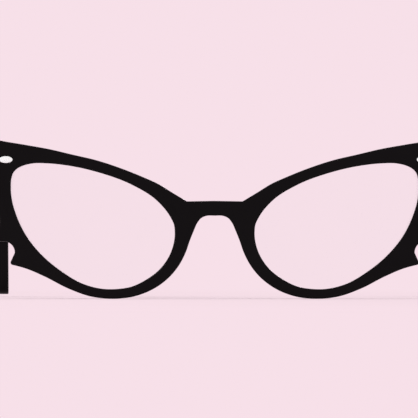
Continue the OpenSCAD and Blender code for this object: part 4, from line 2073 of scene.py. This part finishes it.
@dataclass(frozen=True)
class Studio:
    """Plain pale floor and backdrop, soft lamps, and the camera.

    Attributes:
        backdrop: colour of the backdrop as the camera sees it.
        floor_paint: colour of the floor, which the lamps bring up to the backdrop's.
        room_light: colour of the light from all round.
        world_light: strength of the light from all round.
        glow: share of plain backdrop colour in the floor, near the glasses and far from them.
        glow_from, glow_to: distances between which the floor goes from the near share to the far one.
        floor_radius: radius of the floor.
        floor_facets: how many facets it has round it.
        camera_x, camera_z: how far to the side and how high the camera stands, in millimetres.
        lens, sensor: focal length and width of the camera's sensor, in millimetres.
        clip: nearest and farthest distance that the camera sees.
        lamps: the lamps.
    """

    backdrop: Colour = (0.930, 0.745, 0.812, 1)
    floor_paint: Colour = (0.893, 0.718, 0.781, 1)
    room_light: Colour = (1.0, 0.99, 0.995, 1)
    world_light: float = 0.42
    glow: tuple[float, float] = (0.2, 1.0)
    glow_from: float = 0.12
    glow_to: float = 0.6
    floor_radius: float = 12.0
    floor_facets: int = 96
    camera_x: float = -1.77
    camera_z: float = 27.8
    lens: float = 1500.0
    sensor: float = 36.0
    clip: tuple[float, float] = (0.1, 60)
    lamps: tuple[Lamp, ...] = (
        Lamp("softbox_left", (-0.85, -0.8, 0.75), (0.45, 0.3), 7.4),
        Lamp("softbox_right", (0.95, -0.6, 0.55), (0.25, 0.4), 3.4),
        Lamp("strip_over", (-0.2, 0.3, 0.95), (0.6, 0.05), 2.6),
        Lamp("strip_behind", (0.4, 0.95, 0.55), (0.5, 0.05), 2.2),
    )

    def seen(self, graph: Graph) -> Socket:
        """Finds the rays on which the background shows: from the camera, off gloss and through glass.

        Args:
            graph: the world's or the floor's graph.

        Returns:
            1 for such a ray, and 0 for any other.
        """
        rays = graph.add("ShaderNodeLightPath").outputs
        either = graph.math("MAXIMUM", rays["Is Camera Ray"], rays["Is Glossy Ray"])
        return graph.math("MAXIMUM", either, rays["Is Transmission Ray"])

    def world(self) -> None:
        """Sets a world that shows the backdrop's colour and lights the glasses evenly."""
        world = bpy.data.worlds.new("pale_room")
        bpy.context.scene.world = world
        world.use_nodes = True
        graph = Graph(world.node_tree)
        lit = graph.first("ShaderNodeBackground", {"Color": self.room_light, "Strength": self.world_light})
        seen = graph.first("ShaderNodeBackground", {"Color": self.backdrop, "Strength": 1.0})
        graph.add("ShaderNodeOutputWorld", {"Surface": graph.shown(self.seen(graph), lit, seen)})

    def floor(self, ground: float) -> None:
        """Lays a round floor that keeps the soft shadow near the glasses and melts into the backdrop.

        Args:
            ground: height of the lowest point of the glasses.
        """
        work = bmesh.new()
        bmesh.ops.create_circle(work, cap_ends=True, radius=self.floor_radius, segments=self.floor_facets,
                                matrix=Matrix.Translation((0, 0, ground)))
        floor = from_work("pale_floor", work)
        material = bpy.data.materials.new("pale_floor")
        material.use_nodes = True
        graph = Graph(material.node_tree)
        place = graph.add("ShaderNodeTexCoord").outputs["Object"]
        far = graph.add("ShaderNodeVectorMath", {0: place}, operation="LENGTH").outputs["Value"]
        fade = graph.ranged(far, *self.glow, self.glow_from, self.glow_to, interpolation_type="SMOOTHSTEP")
        lit = graph.first("ShaderNodeBsdfDiffuse", {"Color": self.floor_paint})
        glow = graph.first("ShaderNodeEmission", {"Color": self.backdrop, "Strength": 1.0})
        top = graph.shown(graph.math("MULTIPLY", fade, self.seen(graph)), lit, glow)
        below = graph.first("ShaderNodeBsdfTransparent")
        back = graph.add("ShaderNodeNewGeometry").outputs["Backfacing"]
        graph.add("ShaderNodeOutputMaterial", {"Surface": graph.shown(back, top, below)})
        floor.data.materials.append(material)
        floor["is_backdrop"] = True

    def camera(self, front_y: float) -> None:
        """Places the level camera far in front of the glasses.

        Args:
            front_y: depth of the foremost point of the front.
        """
        data = bpy.data.cameras.new("camera")
        data.lens = self.lens
        data.sensor_width = self.sensor
        data.clip_start, data.clip_end = self.clip
        camera = placed(data)
        distance = IMAGE_PX * MM_PER_PX * MM * self.lens / self.sensor
        camera.location = (self.camera_x * MM, front_y - distance, self.camera_z * MM)
        camera.rotation_euler = (math.pi / 2, 0, 0)
        bpy.context.scene.camera = camera

    def build(self, front_y: float, ground: float) -> None:
        """Sets up the whole studio.

        Args:
            front_y: depth of the foremost point of the front.
            ground: height of the lowest point of the glasses.
        """
        self.world()
        self.floor(ground)
        for lamp in self.lamps:
            lamp.hang()
        self.camera(front_y)
        bpy.context.scene.view_settings.view_transform = "Standard"


def main() -> None:
    """Builds the glasses and the studio."""
    logging.basicConfig(level=logging.INFO, format="%(name)s: %(message)s")
    solid_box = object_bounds()
    shop, sizes = Workshop(), FrameSizes()
    front = Front(sizes, Plaque(sizes), Hinge(sizes))
    arm = Temple(sizes)
    for assembly in (front, Lens(sizes, front), front.plaque, NosePad(sizes), front.hinge, arm, Rivets(arm)):
        for piece in assembly.build(shop):
            log.info("%s: %s, %d faces", type(assembly).__name__, piece.name, len(piece.data.polygons))
    Studio().build(solid_box[0].y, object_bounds()[0].z)


if __name__ == "__main__":
    main()
